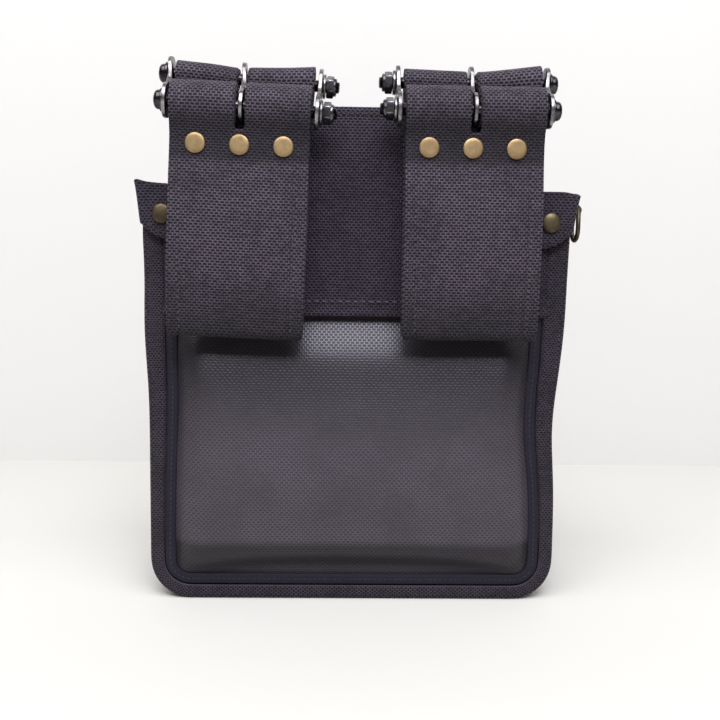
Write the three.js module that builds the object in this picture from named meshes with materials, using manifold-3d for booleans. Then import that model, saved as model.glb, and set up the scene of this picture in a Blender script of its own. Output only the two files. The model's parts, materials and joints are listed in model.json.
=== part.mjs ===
// Electrician's waist pouch of ballistic nylon, hung on two belt loops by pairs of bolted link plates.
// Millimetres, +Z up. The back, with the belt loops, faces -Y. The origin is the centre of the flat base.

import * as THREE from 'three';
import { mergeVertices } from 'three/addons/utils/BufferGeometryUtils.js';
import Module from 'manifold-3d';

const wasm = await Module();
wasm.setup();

// ---- Driving dimensions ----

const GAP = 0.3; // between pieces that touch
const RAD = Math.PI / 180;

// Main bag
const BASE_HALF_WIDTH = 112;
const MOUTH_FLARE = { left: 2.2, right: 4.3 }; // how much wider each side is at the mouth
const FLARE_START_Z = 100;
const MOUTH_Z = 223;
const FRONT_TOP_Z = 214;
const BAG_HALF_DEPTH = 36;
const CORNER_RADIUS = 22;
const CLOTH = 2.5;
const SEAM_WRAP = 8; // how far the gusset turns onto the back and the front
const TAPE_WIDTH = 7;
const TAPE_THICKNESS = 1.8;
const BACK_TAPE_TOP_Z = 190; // under the reinforcement, below the ear rivets
const HEM_DROP = 14;
const HEM_CLOTH = 2;

// Reinforcement and its tongue, on the back
const PATCH_BOTTOM_Z = 158;
const PATCH_THICKNESS = 2.3;
const TONGUE_TOP_Z = 268.5;
const TONGUE_HALF_WIDTH = 92;
const TONGUE_CORNER = 6;

// Ears: tabs that fold round the mouth's back corners
const EAR_TOP_Z = { left: 228, right: 225.5 };
const EAR_DROP = 30;
const EAR_INNER_X = 92;
const EAR_SIDE_LENGTH = 48;
const EAR_CORNER_WIDTH = 12; // of the rounded lower corner
const EAR_CORNER_HEIGHT = 8;
const EAR_RIVET_X = { left: -102.6, right: 103.4 };
const EAR_RIVET_Z = { left: 211.3, right: 209 };

// Hinges
const HINGES = {
  left: { centreX: -57.5, sag: 3.8 * RAD, lean: 1.8 * RAD, nutEnd: 1, rivetShift: 0 },
  right: { centreX: 59, sag: 0, lean: 0.2 * RAD, nutEnd: -1, rivetShift: -1.2 },
};
const REAR_PIN_Z = 281;
const PIN_STEP_Y = -19; // from the rear pin to the front pin
const PIN_STEP_Z = -16.9;
const PIN_RADIUS = 3;
const PIN_HOLE = PIN_RADIUS + GAP;
const LINK_THICKNESS = 2;
const LINK_EYE_RADIUS = 8.8;
const LINK_WAIST_HALF = 5;
const LINK_WAIST_BLEND = 20 * RAD; // how far each eye's arc stops short of the waist
const LINK_WAIST_PINCH = 0.6;
const LOOP_HALF_WIDTH = 35;
const LINK_SIDE_GAP = 2.1;
const WASHER_RADIUS = 6.25;
const WASHER_THICKNESS = 1.4;
const NUT_CORNER_RADIUS = 5.77;
const NUT_THICKNESS = 5.3;
const BOLT_TIP = 1.6;
const BOLT_HEAD_RADIUS = 5.2;
const BOLT_HEAD_HEIGHT = 3.6;
const BOLT_FLANGE_RADIUS = 6.2;
const BOLT_FLANGE = 1.3;

// Hangers: webbing folded over the rear pins, down both faces of the tongue
const HANGER_ROLL_RADIUS = 8;
const HANGER_BORE = 4;
const HANGER_WEBBING = 2.6;
const HANGER_LENGTH = 45; // from the rear pin down to its ends
const HANGER_SLOT_DEPTH = 17;
const HANGER_NECK_TOP = 9;
const HANGER_NECK_BOTTOM = 13;
const HANGER_RIVET_DROP = 34;
const HANGER_RIVET_X = 24;

// Belt loops, measured from the front pin: y is negative away from the bag
const LOOP_ROLL_RADIUS = 12.4;
const LOOP_BORE = 4.6;
const LOOP_LENGTH = 117; // from the front pin to the bottom fold
const LOOP_FRONT_Y = -7.8;
const LOOP_BACK_Y = 6.8;
const LOOP_WEBBING = 2.8;
const LOOP_NECK_FRONT_Y = -6.6;
const LOOP_NECK_BACK_Y = -0.8;
const LOOP_NECK_TOP = 14;
const LOOP_NECK_BOTTOM = 27;
const LOOP_GAP_TOP = 31;
const LOOP_GAP_SHOULDER = 8; // height of the slope from the riveted neck to the open gap
const LOOP_GAP_TOP_HALF = 0.8;
const LOOP_SLOT_DEPTH = 12.8;
const LOOP_RIVET_DROP = 20;
const LOOP_RIVET_PITCH = 22;
const SLOT_WIDTH = 5;
const SLOT_REACH = 40; // of the slot's cutter, past the webbing on every side

// Rivets
const RIVET_HEAD_RADIUS = 5.2;
const RIVET_CAP_RADIUS = 4.2;
const RIVET_CAP_HEIGHT = 0.9;
const RIVET_SHANK_RADIUS = 2;
const RIVET_HOLE = RIVET_SHANK_RADIUS + GAP;
const FLAT_HEAD_HEIGHT = 1;
const DOMED_HEAD_HEIGHT = 1.9;

// Side ring and its tab, on the right ear
const RING_WIRE = 1.3;
const RING_HALF_WIDTH = 6.5;
const RING_STRAIGHT = 10;
const RING_TOP_Z = 217.5;
const RING_CENTRE_Y = -18;
const RING_BORE = RING_WIRE + GAP;
const RING_TAB_CLOTH = 1.6;
const RING_TAB_HALF_WIDTH = 4;
const RING_TAB_RISE = 8; // above the ring's bar

// Outer pocket on the front
const POCKET_HALF_WIDTH = 84;
const POCKET_BOTTOM_Z = 24;
const POCKET_TOP_Z = 150;
const POCKET_DEPTH = 26;
const POCKET_CORNER = 18;
const POCKET_FLANGE = 6;
const POCKET_RIVET_X = 71;
const POCKET_RIVET_Z = 139;

// Tool sleeves on the pocket's face
const SLEEVES = { left: -46, middle: 0, right: 46 };
const SLEEVE_HALF_WIDTH = 21.5;
const SLEEVE_ARCH_HALF = 17;
const SLEEVE_ARCH_DEPTH = 15;
const SLEEVE_CLOTH = 2.2;
const SLEEVE_BOTTOM_Z = 56;
const SLEEVE_TOP_Z = 128;

// Board in the bottom of the bag
const BOARD_HALF_WIDTH = 88;
const BOARD_HALF_DEPTH = 29.5;
const BOARD_THICKNESS = 2;

const CORNER_STEPS = 6;
const ROUND_STEPS = 14;
const ARC_STEPS = 6;

// ---- Places worked out from them ----

const BACK_SEAM_Y = -BAG_HALF_DEPTH + CLOTH; // inner face of the gusset's turn onto the back
const PANEL_OUTER_Y = BAG_HALF_DEPTH - CLOTH - GAP; // of each panel, from the middle
const PATCH_OUTER_Y = -BAG_HALF_DEPTH - GAP - PATCH_THICKNESS;
const EAR_OUTER_Y = PATCH_OUTER_Y - GAP - PATCH_THICKNESS;
const REAR_PIN_Y = PATCH_OUTER_Y + PATCH_THICKNESS / 2;
const POCKET_BACK_Y = BAG_HALF_DEPTH - CLOTH;
const POCKET_FACE_Y = POCKET_BACK_Y + POCKET_DEPTH + GAP;
const SLEEVE_Y = POCKET_FACE_Y + CLOTH + GAP;
const PLATE_OUTER_X = LOOP_HALF_WIDTH + LINK_SIDE_GAP + LINK_THICKNESS;
const NUT_END_X = PLATE_OUTER_X + GAP + WASHER_THICKNESS + GAP + NUT_THICKNESS;

// ---- Materials ----

const finish = (color, roughness, metalness) =>
  new THREE.MeshStandardMaterial({ color, roughness, metalness });

const MATERIALS = {
  ballistic: finish(0x423c44, 0.85, 0),
  coated: finish(0x48434b, 0.5, 0),
  webbing: finish(0x464047, 0.8, 0),
  tape: finish(0x2c2833, 0.7, 0),
  brass: finish(0xa48c6c, 0.4, 1),
  plated: finish(0xb8b6b4, 0.25, 1),
  blackened: finish(0x1d1c1e, 0.3, 1),
  board: finish(0x26262a, 0.6, 0),
};

// ---- Solids ----

/** Closed solid from a geometry, for cutting and joining. */
function toSolid(geometry) {
  const bare = new THREE.BufferGeometry();
  bare.setAttribute('position', geometry.getAttribute('position').clone());
  if (geometry.index) bare.setIndex(geometry.index.clone());
  const merged = mergeVertices(bare, 1e-4);
  return new wasm.Manifold(
    new wasm.Mesh({
      numProp: 3,
      vertProperties: new Float32Array(merged.getAttribute('position').array),
      triVerts: new Uint32Array(merged.index.array),
    }),
  );
}

/** Geometry of a solid, with its own normals. */
function toGeometry(solid) {
  const mesh = solid.getMesh();
  const geometry = new THREE.BufferGeometry();
  geometry.setAttribute('position', new THREE.BufferAttribute(mesh.vertProperties, 3));
  geometry.setIndex(new THREE.BufferAttribute(mesh.triVerts, 1));
  geometry.computeVertexNormals();
  return geometry;
}

/** The first geometry with all the others cut out of it. */
function cut(geometry, tools) {
  return toGeometry(tools.reduce((solid, tool) => solid.subtract(toSolid(tool)), toSolid(geometry)));
}

/** All the geometries joined into one solid. */
function join(...geometries) {
  return toGeometry(geometries.map(toSolid).reduce((solid, other) => solid.add(other)));
}

const extrude = (shape, depth) =>
  new THREE.ExtrudeGeometry(shape, { depth, bevelEnabled: false, curveSegments: ARC_STEPS });

/** Outline drawn in X and Z, as a plate between two depths. */
function plate(shape, yMin, yMax) {
  return extrude(shape, yMax - yMin).rotateX(Math.PI / 2).translate(0, yMax, 0);
}

/** Section drawn in Y and Z, extruded from one X to another. */
function bar(shape, xMin, xMax) {
  const cycle = new THREE.Matrix4().makeBasis(
    new THREE.Vector3(0, 1, 0),
    new THREE.Vector3(0, 0, 1),
    new THREE.Vector3(1, 0, 0),
  );
  return extrude(shape, xMax - xMin).applyMatrix4(cycle).translate(xMin, 0, 0);
}

function block(xMin, xMax, yMin, yMax, zMin, zMax) {
  return new THREE.BoxGeometry(xMax - xMin, yMax - yMin, zMax - zMin).translate(
    (xMin + xMax) / 2,
    (yMin + yMax) / 2,
    (zMin + zMax) / 2,
  );
}

/** Turned piece about the X axis, from [radius, x] pairs given in order of x. */
function turned(profile, steps = ROUND_STEPS) {
  const points = profile.map(([radius, x]) => new THREE.Vector2(radius, x));
  return new THREE.LatheGeometry(points, steps).rotateZ(-Math.PI / 2);
}

/** Round rod along Y, to cut a rivet's hole through a plate. */
function drill(x, z) {
  return new THREE.CylinderGeometry(RIVET_HOLE, RIVET_HOLE, 200, ROUND_STEPS).translate(x, 0, z);
}

function addMesh(group, name, geometry, material) {
  const mesh = new THREE.Mesh(geometry, material);
  mesh.name = name;
  group.add(mesh);
  return mesh;
}

// ---- Outlines ----

/** Distance from the middle to one side of the bag at a height: straight, then flaring to the mouth. */
function halfWidthAt(z, side) {
  return BASE_HALF_WIDTH + MOUTH_FLARE[side] * THREE.MathUtils.smoothstep(z, FLARE_START_Z, MOUTH_Z);
}

/** Points of a U with rounded corners, from its top left, round the bottom, to its top right. */
function uPoints({ widthAt, bottom, top, corner, sideSteps }) {
  const halves = { left: [], right: [] };
  for (const [side, points] of Object.entries(halves)) {
    const sign = side === 'left' ? -1 : 1;
    const width = widthAt(bottom + corner, side);
    for (let i = 0; i <= CORNER_STEPS; i++) {
      const angle = (-90 + (90 * i) / CORNER_STEPS) * RAD;
      const x = width - corner + corner * Math.cos(angle);
      points.push(new THREE.Vector2(sign * x, bottom + corner + corner * Math.sin(angle)));
    }
    for (let i = 1; i <= sideSteps; i++) {
      const z = bottom + corner + ((top - bottom - corner) * i) / sideSteps;
      points.push(new THREE.Vector2(sign * widthAt(z, side), z));
    }
  }
  return [...halves.left.reverse(), ...halves.right];
}

/** Outline of the bag seen from behind, moved in by a distance. */
const bagPoints = (inset, top = MOUTH_Z) =>
  uPoints({
    widthAt: (z, side) => halfWidthAt(z, side) - inset,
    bottom: inset,
    top,
    corner: CORNER_RADIUS - Math.min(inset, CORNER_RADIUS - 4),
    sideSteps: 6,
  });

const pocketPoints = (inset) =>
  uPoints({
    widthAt: () => POCKET_HALF_WIDTH - inset,
    bottom: POCKET_BOTTOM_Z + inset,
    top: POCKET_TOP_Z,
    corner: POCKET_CORNER - inset,
    sideSteps: 1,
  });

/** Shape between two U outlines that end at one height. */
const uBand = (outer, inner) => new THREE.Shape([...outer, ...[...inner].reverse()]);

// ---- Bag ----

function makeGusset() {
  const strip = plate(uBand(bagPoints(0), bagPoints(CLOTH)), -BAG_HALF_DEPTH, BAG_HALF_DEPTH);
  const wrap = uBand(bagPoints(0), bagPoints(SEAM_WRAP));
  const backWrap = plate(wrap, -BAG_HALF_DEPTH, BACK_SEAM_Y);
  const frontWrap = plate(wrap, -BACK_SEAM_Y, BAG_HALF_DEPTH);
  return join(strip, backWrap, frontWrap);
}

function makeBackPanel() {
  const panel = plate(
    new THREE.Shape(bagPoints(CLOTH + GAP)),
    -PANEL_OUTER_Y,
    -PANEL_OUTER_Y + CLOTH,
  );
  return cut(panel, ['left', 'right'].map(earRivetHole));
}

function makeFrontPanel() {
  return plate(
    new THREE.Shape(bagPoints(CLOTH + GAP, FRONT_TOP_Z)),
    PANEL_OUTER_Y - CLOTH,
    PANEL_OUTER_Y,
  );
}

/** Binding tape beside the gusset's turned edge, on the outer face of a panel. */
function makeSeamTape(side, top) {
  const outer = bagPoints(SEAM_WRAP + GAP, top);
  const inner = bagPoints(SEAM_WRAP + GAP + TAPE_WIDTH, top);
  const face = side * (PANEL_OUTER_Y + GAP);
  const far = face + side * TAPE_THICKNESS;
  return plate(uBand(outer, inner), Math.min(face, far), Math.max(face, far));
}

/** Folded hem over the front panel's top edge. */
function makeMouthHem() {
  const inner = PANEL_OUTER_Y - CLOTH - GAP;
  const outer = PANEL_OUTER_Y + GAP;
  const inside = FRONT_TOP_Z + GAP;
  const hem = new THREE.Shape([
    new THREE.Vector2(inner - HEM_CLOTH, FRONT_TOP_Z - HEM_DROP),
    new THREE.Vector2(inner, FRONT_TOP_Z - HEM_DROP),
    new THREE.Vector2(inner, inside),
    new THREE.Vector2(outer, inside),
    new THREE.Vector2(outer, FRONT_TOP_Z - HEM_DROP),
    new THREE.Vector2(outer + HEM_CLOTH, FRONT_TOP_Z - HEM_DROP),
    new THREE.Vector2(outer + HEM_CLOTH, inside + HEM_CLOTH),
    new THREE.Vector2(inner - HEM_CLOTH, inside + HEM_CLOTH),
  ]);
  const reach = (side) => halfWidthAt(FRONT_TOP_Z - HEM_DROP, side) - SEAM_WRAP - GAP;
  return bar(hem, -reach('left'), reach('right'));
}

function makeBoard() {
  const low = CLOTH + GAP;
  return block(
    -BOARD_HALF_WIDTH,
    BOARD_HALF_WIDTH,
    -BOARD_HALF_DEPTH,
    BOARD_HALF_DEPTH,
    low,
    low + BOARD_THICKNESS,
  );
}

/** Band across the upper back with the tongue that carries the hangers. */
function makeReinforcement() {
  const steps = 4;
  const heights = [];
  for (let i = 0; i <= steps; i++) {
    heights.push(PATCH_BOTTOM_Z + ((MOUTH_Z - PATCH_BOTTOM_Z) * i) / steps);
  }
  const outline = new THREE.Shape();
  outline.moveTo(-halfWidthAt(PATCH_BOTTOM_Z, 'left'), PATCH_BOTTOM_Z);
  for (const z of heights) outline.lineTo(halfWidthAt(z, 'right'), z);
  outline.lineTo(TONGUE_HALF_WIDTH, MOUTH_Z);
  const cornerZ = TONGUE_TOP_Z - TONGUE_CORNER;
  outline.absarc(TONGUE_HALF_WIDTH - TONGUE_CORNER, cornerZ, TONGUE_CORNER, 0, Math.PI / 2);
  outline.absarc(-TONGUE_HALF_WIDTH + TONGUE_CORNER, cornerZ, TONGUE_CORNER, Math.PI / 2, Math.PI);
  outline.lineTo(-TONGUE_HALF_WIDTH, MOUTH_Z);
  for (const z of heights.slice(1).reverse()) outline.lineTo(-halfWidthAt(z, 'left'), z);
  const holes = ['left', 'right'].flatMap((side) => [earRivetHole(side), ...hangerHoles(side)]);
  return cut(plate(outline, PATCH_OUTER_Y, PATCH_OUTER_Y + PATCH_THICKNESS), holes);
}

const earRivetHole = (side) => drill(EAR_RIVET_X[side], EAR_RIVET_Z[side]);

/** Tab with one leg on the back and one along the gusset, drawn on the right and mirrored for the left. */
function makeEar(side) {
  const edgeAt = (z) => halfWidthAt(z, side);
  const top = EAR_TOP_Z[side];
  const bottom = top - EAR_DROP;
  const mid = bottom + EAR_CORNER_HEIGHT;
  const inner = GAP;
  const outer = GAP + PATCH_THICKNESS;
  const backLeg = new THREE.Shape();
  backLeg.moveTo(EAR_INNER_X, bottom);
  backLeg.lineTo(edgeAt(bottom) - EAR_CORNER_WIDTH, bottom);
  backLeg.quadraticCurveTo(edgeAt(bottom) + outer, bottom, edgeAt(mid) + outer, mid);
  backLeg.lineTo(edgeAt(top) + outer, top);
  backLeg.lineTo(EAR_INNER_X, top);
  const sideLeg = new THREE.Shape([
    new THREE.Vector2(edgeAt(mid) + inner, mid),
    new THREE.Vector2(edgeAt(mid) + outer, mid),
    new THREE.Vector2(edgeAt(top) + outer, top),
    new THREE.Vector2(edgeAt(top) + inner, top),
  ]);
  const folded = join(
    plate(backLeg, EAR_OUTER_Y, EAR_OUTER_Y + PATCH_THICKNESS),
    plate(sideLeg, EAR_OUTER_Y, EAR_OUTER_Y + EAR_SIDE_LENGTH),
  );
  return cut(side === 'right' ? folded : mirrored(folded), [earRivetHole(side)]);
}

/** The same solid on the other side of the middle plane. */
function mirrored(geometry) {
  return toGeometry(toSolid(geometry).mirror([1, 0, 0]));
}

// ---- Rivets ----

/** Rivet along Y: its head outside at y = 0 facing -Y, and its cap behind the grip. */
function makeRivet(grip, headHeight, domed) {
  const edge = domed ? 0.25 : 0.6; // height of the head's straight side, as a share of the head
  const crown = domed
    ? [[RIVET_HEAD_RADIUS * 0.86, 0.62], [RIVET_HEAD_RADIUS * 0.5, 0.92]]
    : [[RIVET_HEAD_RADIUS * 0.9, 1]];
  const profile = [
    [0, -grip - RIVET_CAP_HEIGHT],
    [RIVET_CAP_RADIUS * 0.85, -grip - RIVET_CAP_HEIGHT],
    [RIVET_CAP_RADIUS, -grip - RIVET_CAP_HEIGHT / 2],
    [RIVET_CAP_RADIUS, -grip],
    [RIVET_SHANK_RADIUS, -grip],
    [RIVET_SHANK_RADIUS, 0],
    [RIVET_HEAD_RADIUS, 0],
    [RIVET_HEAD_RADIUS, headHeight * edge],
    ...crown.map(([radius, share]) => [radius, headHeight * share]),
    [0, headHeight],
  ];
  return turned(profile).rotateZ(-Math.PI / 2);
}

function addRivet(group, name, { x, y, z, grip, domed = false }) {
  const height = domed ? DOMED_HEAD_HEIGHT : FLAT_HEAD_HEIGHT;
  const rivet = addMesh(group, name, makeRivet(grip, height, domed), MATERIALS.brass);
  rivet.position.set(x, y, z);
  return rivet;
}

// ---- Hangers ----

const hangerRivets = [-HANGER_RIVET_X, HANGER_RIVET_X];

/** Where a hanger's rivets pass through the tongue, after the sag. */
function hangerHoles(side) {
  const { centreX, sag } = HINGES[side];
  return hangerRivets.map((x) =>
    drill(
      centreX + x * Math.cos(sag) - HANGER_RIVET_DROP * Math.sin(sag),
      REAR_PIN_Z - x * Math.sin(sag) - HANGER_RIVET_DROP * Math.cos(sag),
    ),
  );
}

/** Slot with a round lower end, for the middle link plate. */
function slotCutter(depth) {
  const half = SLOT_WIDTH / 2;
  const slot = new THREE.Shape();
  slot.moveTo(-half, SLOT_REACH);
  slot.lineTo(-half, half - depth);
  slot.absarc(0, half - depth, half, Math.PI, 2 * Math.PI);
  slot.lineTo(half, SLOT_REACH);
  return plate(slot, -SLOT_REACH, SLOT_REACH);
}

/** Webbing round the rear pin with a leg on each side of the tongue. The pin is at the origin. */
function makeHanger() {
  const legInner = PATCH_THICKNESS / 2 + GAP;
  const legOuter = legInner + HANGER_WEBBING;
  const start = -35 * RAD;
  const end = 215 * RAD;
  const rollY = HANGER_ROLL_RADIUS * Math.cos(start);
  const rollZ = HANGER_ROLL_RADIUS * Math.sin(start);
  const outline = new THREE.Shape();
  outline.absarc(0, 0, HANGER_ROLL_RADIUS, start, end);
  outline.quadraticCurveTo(-legOuter, -HANGER_NECK_TOP, -legOuter, -HANGER_NECK_BOTTOM);
  outline.lineTo(-legOuter, -HANGER_LENGTH);
  outline.lineTo(-legInner, -HANGER_LENGTH);
  outline.lineTo(-legInner, -HANGER_ROLL_RADIUS);
  outline.lineTo(legInner, -HANGER_ROLL_RADIUS);
  outline.lineTo(legInner, -HANGER_LENGTH);
  outline.lineTo(legOuter, -HANGER_LENGTH);
  outline.lineTo(legOuter, -HANGER_NECK_BOTTOM);
  outline.quadraticCurveTo(legOuter, -HANGER_NECK_TOP, rollY, rollZ);
  const bore = new THREE.Path();
  bore.absarc(0, 0, HANGER_BORE, 0, 2 * Math.PI);
  outline.holes.push(bore);
  const webbing = bar(outline, -LOOP_HALF_WIDTH, LOOP_HALF_WIDTH);
  return cut(webbing, [
    slotCutter(HANGER_SLOT_DEPTH),
    ...hangerRivets.map((x) => drill(x, -HANGER_RIVET_DROP)),
  ]);
}

function addHanger(group, side) {
  addMesh(group, `${side}_hanger`, makeHanger(), MATERIALS.webbing);
  const grip = PATCH_THICKNESS + 2 * (GAP + HANGER_WEBBING) + 2 * GAP;
  hangerRivets.forEach((x, i) => {
    addRivet(group, `${side}_hanger_rivet_${i + 1}`, { x, y: -grip / 2, z: -HANGER_RIVET_DROP, grip });
  });
}

// ---- Links, bolts and nuts ----

/** Figure-of-eight plate between the two pins, with the rear pin at the origin. */
function makeLinkPlate(xMin) {
  const length = Math.hypot(PIN_STEP_Y, PIN_STEP_Z);
  const waist = Math.asin(LINK_WAIST_HALF / LINK_EYE_RADIUS) + LINK_WAIST_BLEND;
  const waistX = LINK_EYE_RADIUS * Math.cos(waist);
  const waistY = LINK_EYE_RADIUS * Math.sin(waist);
  const pinch = LINK_WAIST_HALF - LINK_WAIST_PINCH;
  const outline = new THREE.Shape();
  outline.absarc(0, 0, LINK_EYE_RADIUS, waist, 2 * Math.PI - waist);
  outline.quadraticCurveTo(length / 2, -pinch, length - waistX, -waistY);
  outline.absarc(length, 0, LINK_EYE_RADIUS, Math.PI + waist, 3 * Math.PI - waist);
  outline.quadraticCurveTo(length / 2, pinch, waistX, waistY);
  for (const centre of [0, length]) {
    const hole = new THREE.Path();
    hole.absarc(centre, 0, PIN_HOLE, 0, 2 * Math.PI);
    outline.holes.push(hole);
  }
  const slope = Math.atan2(PIN_STEP_Z, PIN_STEP_Y);
  return bar(outline, xMin, xMin + LINK_THICKNESS).rotateX(slope);
}

/** Bolt along X with its head at the outer end, drawn for a nut at +X. */
function makeBolt() {
  const under = -PLATE_OUTER_X - GAP;
  const crown = under - BOLT_FLANGE - BOLT_HEAD_HEIGHT;
  return turned([
    [0, crown],
    [BOLT_HEAD_RADIUS * 0.55, crown],
    [BOLT_HEAD_RADIUS * 0.88, crown + BOLT_HEAD_HEIGHT * 0.3],
    [BOLT_HEAD_RADIUS, crown + BOLT_HEAD_HEIGHT * 0.75],
    [BOLT_HEAD_RADIUS, under - BOLT_FLANGE],
    [BOLT_FLANGE_RADIUS, under - BOLT_FLANGE * 0.7],
    [BOLT_FLANGE_RADIUS, under],
    [PIN_RADIUS, under],
    [PIN_RADIUS, NUT_END_X + BOLT_TIP - 0.6],
    [PIN_RADIUS - 0.6, NUT_END_X + BOLT_TIP],
    [0, NUT_END_X + BOLT_TIP],
  ]);
}

function ringShape(outerPoints) {
  const ring = new THREE.Shape(outerPoints);
  const hole = new THREE.Path();
  hole.absarc(0, 0, PIN_HOLE, 0, 2 * Math.PI);
  ring.holes.push(hole);
  return ring;
}

function polygonPoints(radius, sides) {
  const points = [];
  for (let i = 0; i < sides; i++) {
    const angle = (2 * Math.PI * i) / sides;
    points.push(new THREE.Vector2(radius * Math.cos(angle), radius * Math.sin(angle)));
  }
  return points;
}

/** One pin's bolt, washer and nut, turned so that the nut is at the hinge's inner end. */
function addPin(group, name, nutEnd, y, z) {
  const pin = new THREE.Group();
  pin.position.set(0, y, z);
  pin.rotation.z = nutEnd > 0 ? 0 : Math.PI;
  const washerX = PLATE_OUTER_X + GAP;
  const nutX = washerX + WASHER_THICKNESS + GAP;
  const washerShape = ringShape(polygonPoints(WASHER_RADIUS, ROUND_STEPS));
  const nutShape = ringShape(polygonPoints(NUT_CORNER_RADIUS, 6));
  const washer = bar(washerShape, washerX, washerX + WASHER_THICKNESS);
  const nut = bar(nutShape, nutX, nutX + NUT_THICKNESS);
  addMesh(pin, `${name}_bolt`, makeBolt(), MATERIALS.blackened);
  addMesh(pin, `${name}_washer`, washer, MATERIALS.plated);
  addMesh(pin, `${name}_nut`, nut, MATERIALS.blackened);
  group.add(pin);
}

function addLink(group, side, nutEnd) {
  const plates = {
    outer: nutEnd > 0 ? -PLATE_OUTER_X : PLATE_OUTER_X - LINK_THICKNESS,
    middle: -LINK_THICKNESS / 2,
    inner: nutEnd > 0 ? PLATE_OUTER_X - LINK_THICKNESS : -PLATE_OUTER_X,
  };
  for (const [place, xMin] of Object.entries(plates)) {
    addMesh(group, `${side}_${place}_link_plate`, makeLinkPlate(xMin), MATERIALS.plated);
  }
  addPin(group, `${side}_rear`, nutEnd, 0, 0);
  addPin(group, `${side}_front`, nutEnd, PIN_STEP_Y, PIN_STEP_Z);
}

// ---- Belt loops ----

/** Webbing folded round the front pin, closed by rivets, with the belt's gap below them. */
function makeBeltLoop(rivetXs) {
  const foldRadius = (LOOP_BACK_Y - LOOP_FRONT_Y) / 2;
  const foldY = (LOOP_BACK_Y + LOOP_FRONT_Y) / 2;
  const foldZ = -LOOP_LENGTH + foldRadius;
  const start = -35 * RAD;
  const end = 215 * RAD;
  const rollY = LOOP_ROLL_RADIUS * Math.cos(start);
  const rollZ = LOOP_ROLL_RADIUS * Math.sin(start);
  const shoulderZ = -LOOP_GAP_TOP - LOOP_GAP_SHOULDER;
  const outline = new THREE.Shape();
  const bendZ = 3 - LOOP_NECK_TOP;
  outline.absarc(0, 0, LOOP_ROLL_RADIUS, start, end);
  outline.quadraticCurveTo(LOOP_NECK_FRONT_Y - 0.4, bendZ, LOOP_NECK_FRONT_Y, -LOOP_NECK_TOP);
  outline.lineTo(LOOP_NECK_FRONT_Y, -LOOP_NECK_BOTTOM);
  outline.lineTo(LOOP_FRONT_Y, shoulderZ);
  outline.absarc(foldY, foldZ, foldRadius, Math.PI, 2 * Math.PI);
  outline.lineTo(LOOP_BACK_Y, shoulderZ);
  outline.lineTo(LOOP_NECK_BACK_Y, -LOOP_NECK_BOTTOM);
  outline.lineTo(LOOP_NECK_BACK_Y, -LOOP_NECK_TOP - 2);
  outline.quadraticCurveTo(LOOP_NECK_BACK_Y + 4, bendZ, rollY, rollZ);

  const gap = new THREE.Path();
  const gapRadius = foldRadius - LOOP_WEBBING;
  const neckY = (LOOP_NECK_FRONT_Y + LOOP_NECK_BACK_Y) / 2;
  gap.moveTo(neckY - LOOP_GAP_TOP_HALF, -LOOP_GAP_TOP);
  gap.lineTo(LOOP_FRONT_Y + LOOP_WEBBING, shoulderZ);
  gap.absarc(foldY, foldZ, gapRadius, Math.PI, 2 * Math.PI);
  gap.lineTo(LOOP_BACK_Y - LOOP_WEBBING, shoulderZ);
  gap.lineTo(neckY + LOOP_GAP_TOP_HALF, -LOOP_GAP_TOP);
  gap.closePath();
  const bore = new THREE.Path();
  bore.absarc(0, 0, LOOP_BORE, 0, 2 * Math.PI);
  outline.holes.push(gap, bore);

  return cut(bar(outline, -LOOP_HALF_WIDTH, LOOP_HALF_WIDTH), [
    slotCutter(LOOP_SLOT_DEPTH),
    ...rivetXs.map((x) => drill(x, -LOOP_RIVET_DROP)),
  ]);
}

function addBeltLoop(group, side) {
  const rivetXs = [-1, 0, 1].map((i) => i * LOOP_RIVET_PITCH + HINGES[side].rivetShift);
  addMesh(group, `${side}_belt_loop`, makeBeltLoop(rivetXs), MATERIALS.webbing);
  const grip = LOOP_NECK_BACK_Y - LOOP_NECK_FRONT_Y + 2 * GAP;
  rivetXs.forEach((x, i) => {
    addRivet(group, `${side}_loop_rivet_${i + 1}`, {
      x,
      y: LOOP_NECK_FRONT_Y - GAP,
      z: -LOOP_RIVET_DROP,
      grip,
    });
  });
}

/** One whole hinge: hanger, link and belt loop, sagging together about the rear pin's middle. */
function addHinge(pouch, side) {
  const { centreX, sag, lean, nutEnd } = HINGES[side];
  const hinge = new THREE.Group();
  hinge.position.set(centreX, REAR_PIN_Y, REAR_PIN_Z);
  hinge.rotation.y = sag;
  addHanger(hinge, side);
  addLink(hinge, side, nutEnd);
  const loop = new THREE.Group();
  loop.position.set(0, PIN_STEP_Y, PIN_STEP_Z);
  loop.rotation.y = lean - sag;
  addBeltLoop(loop, side);
  hinge.add(loop);
  pouch.add(hinge);
}

// ---- Side ring ----

const earFaceX = halfWidthAt(RING_TOP_Z + RING_TAB_RISE, 'right') + GAP + PATCH_THICKNESS;
const ringX = earFaceX + GAP + RING_TAB_CLOTH + RING_BORE;

/** D-shaped wire ring hanging from its straight top bar. The bar's middle is at the origin. */
function makeRing() {
  const steps = 12;
  const points = [new THREE.Vector3(0, -RING_HALF_WIDTH, 0)];
  for (let i = 0; i <= steps; i++) {
    const angle = Math.PI + (Math.PI * i) / steps;
    const y = RING_HALF_WIDTH * Math.cos(angle);
    points.push(new THREE.Vector3(0, y, -RING_STRAIGHT + RING_HALF_WIDTH * Math.sin(angle)));
  }
  points.push(new THREE.Vector3(0, RING_HALF_WIDTH, 0));
  const wire = new THREE.Shape(polygonPoints(RING_WIRE, 8));
  const bend = new THREE.CatmullRomCurve3(points, false, 'centripetal');
  const loop = new THREE.ExtrudeGeometry(wire, { extrudePath: bend, steps: 28, bevelEnabled: false });
  const overhang = RING_HALF_WIDTH + RING_WIRE;
  const top = new THREE.CylinderGeometry(RING_WIRE, RING_WIRE, 2 * overhang, 12);
  return join(loop, top);
}

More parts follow.
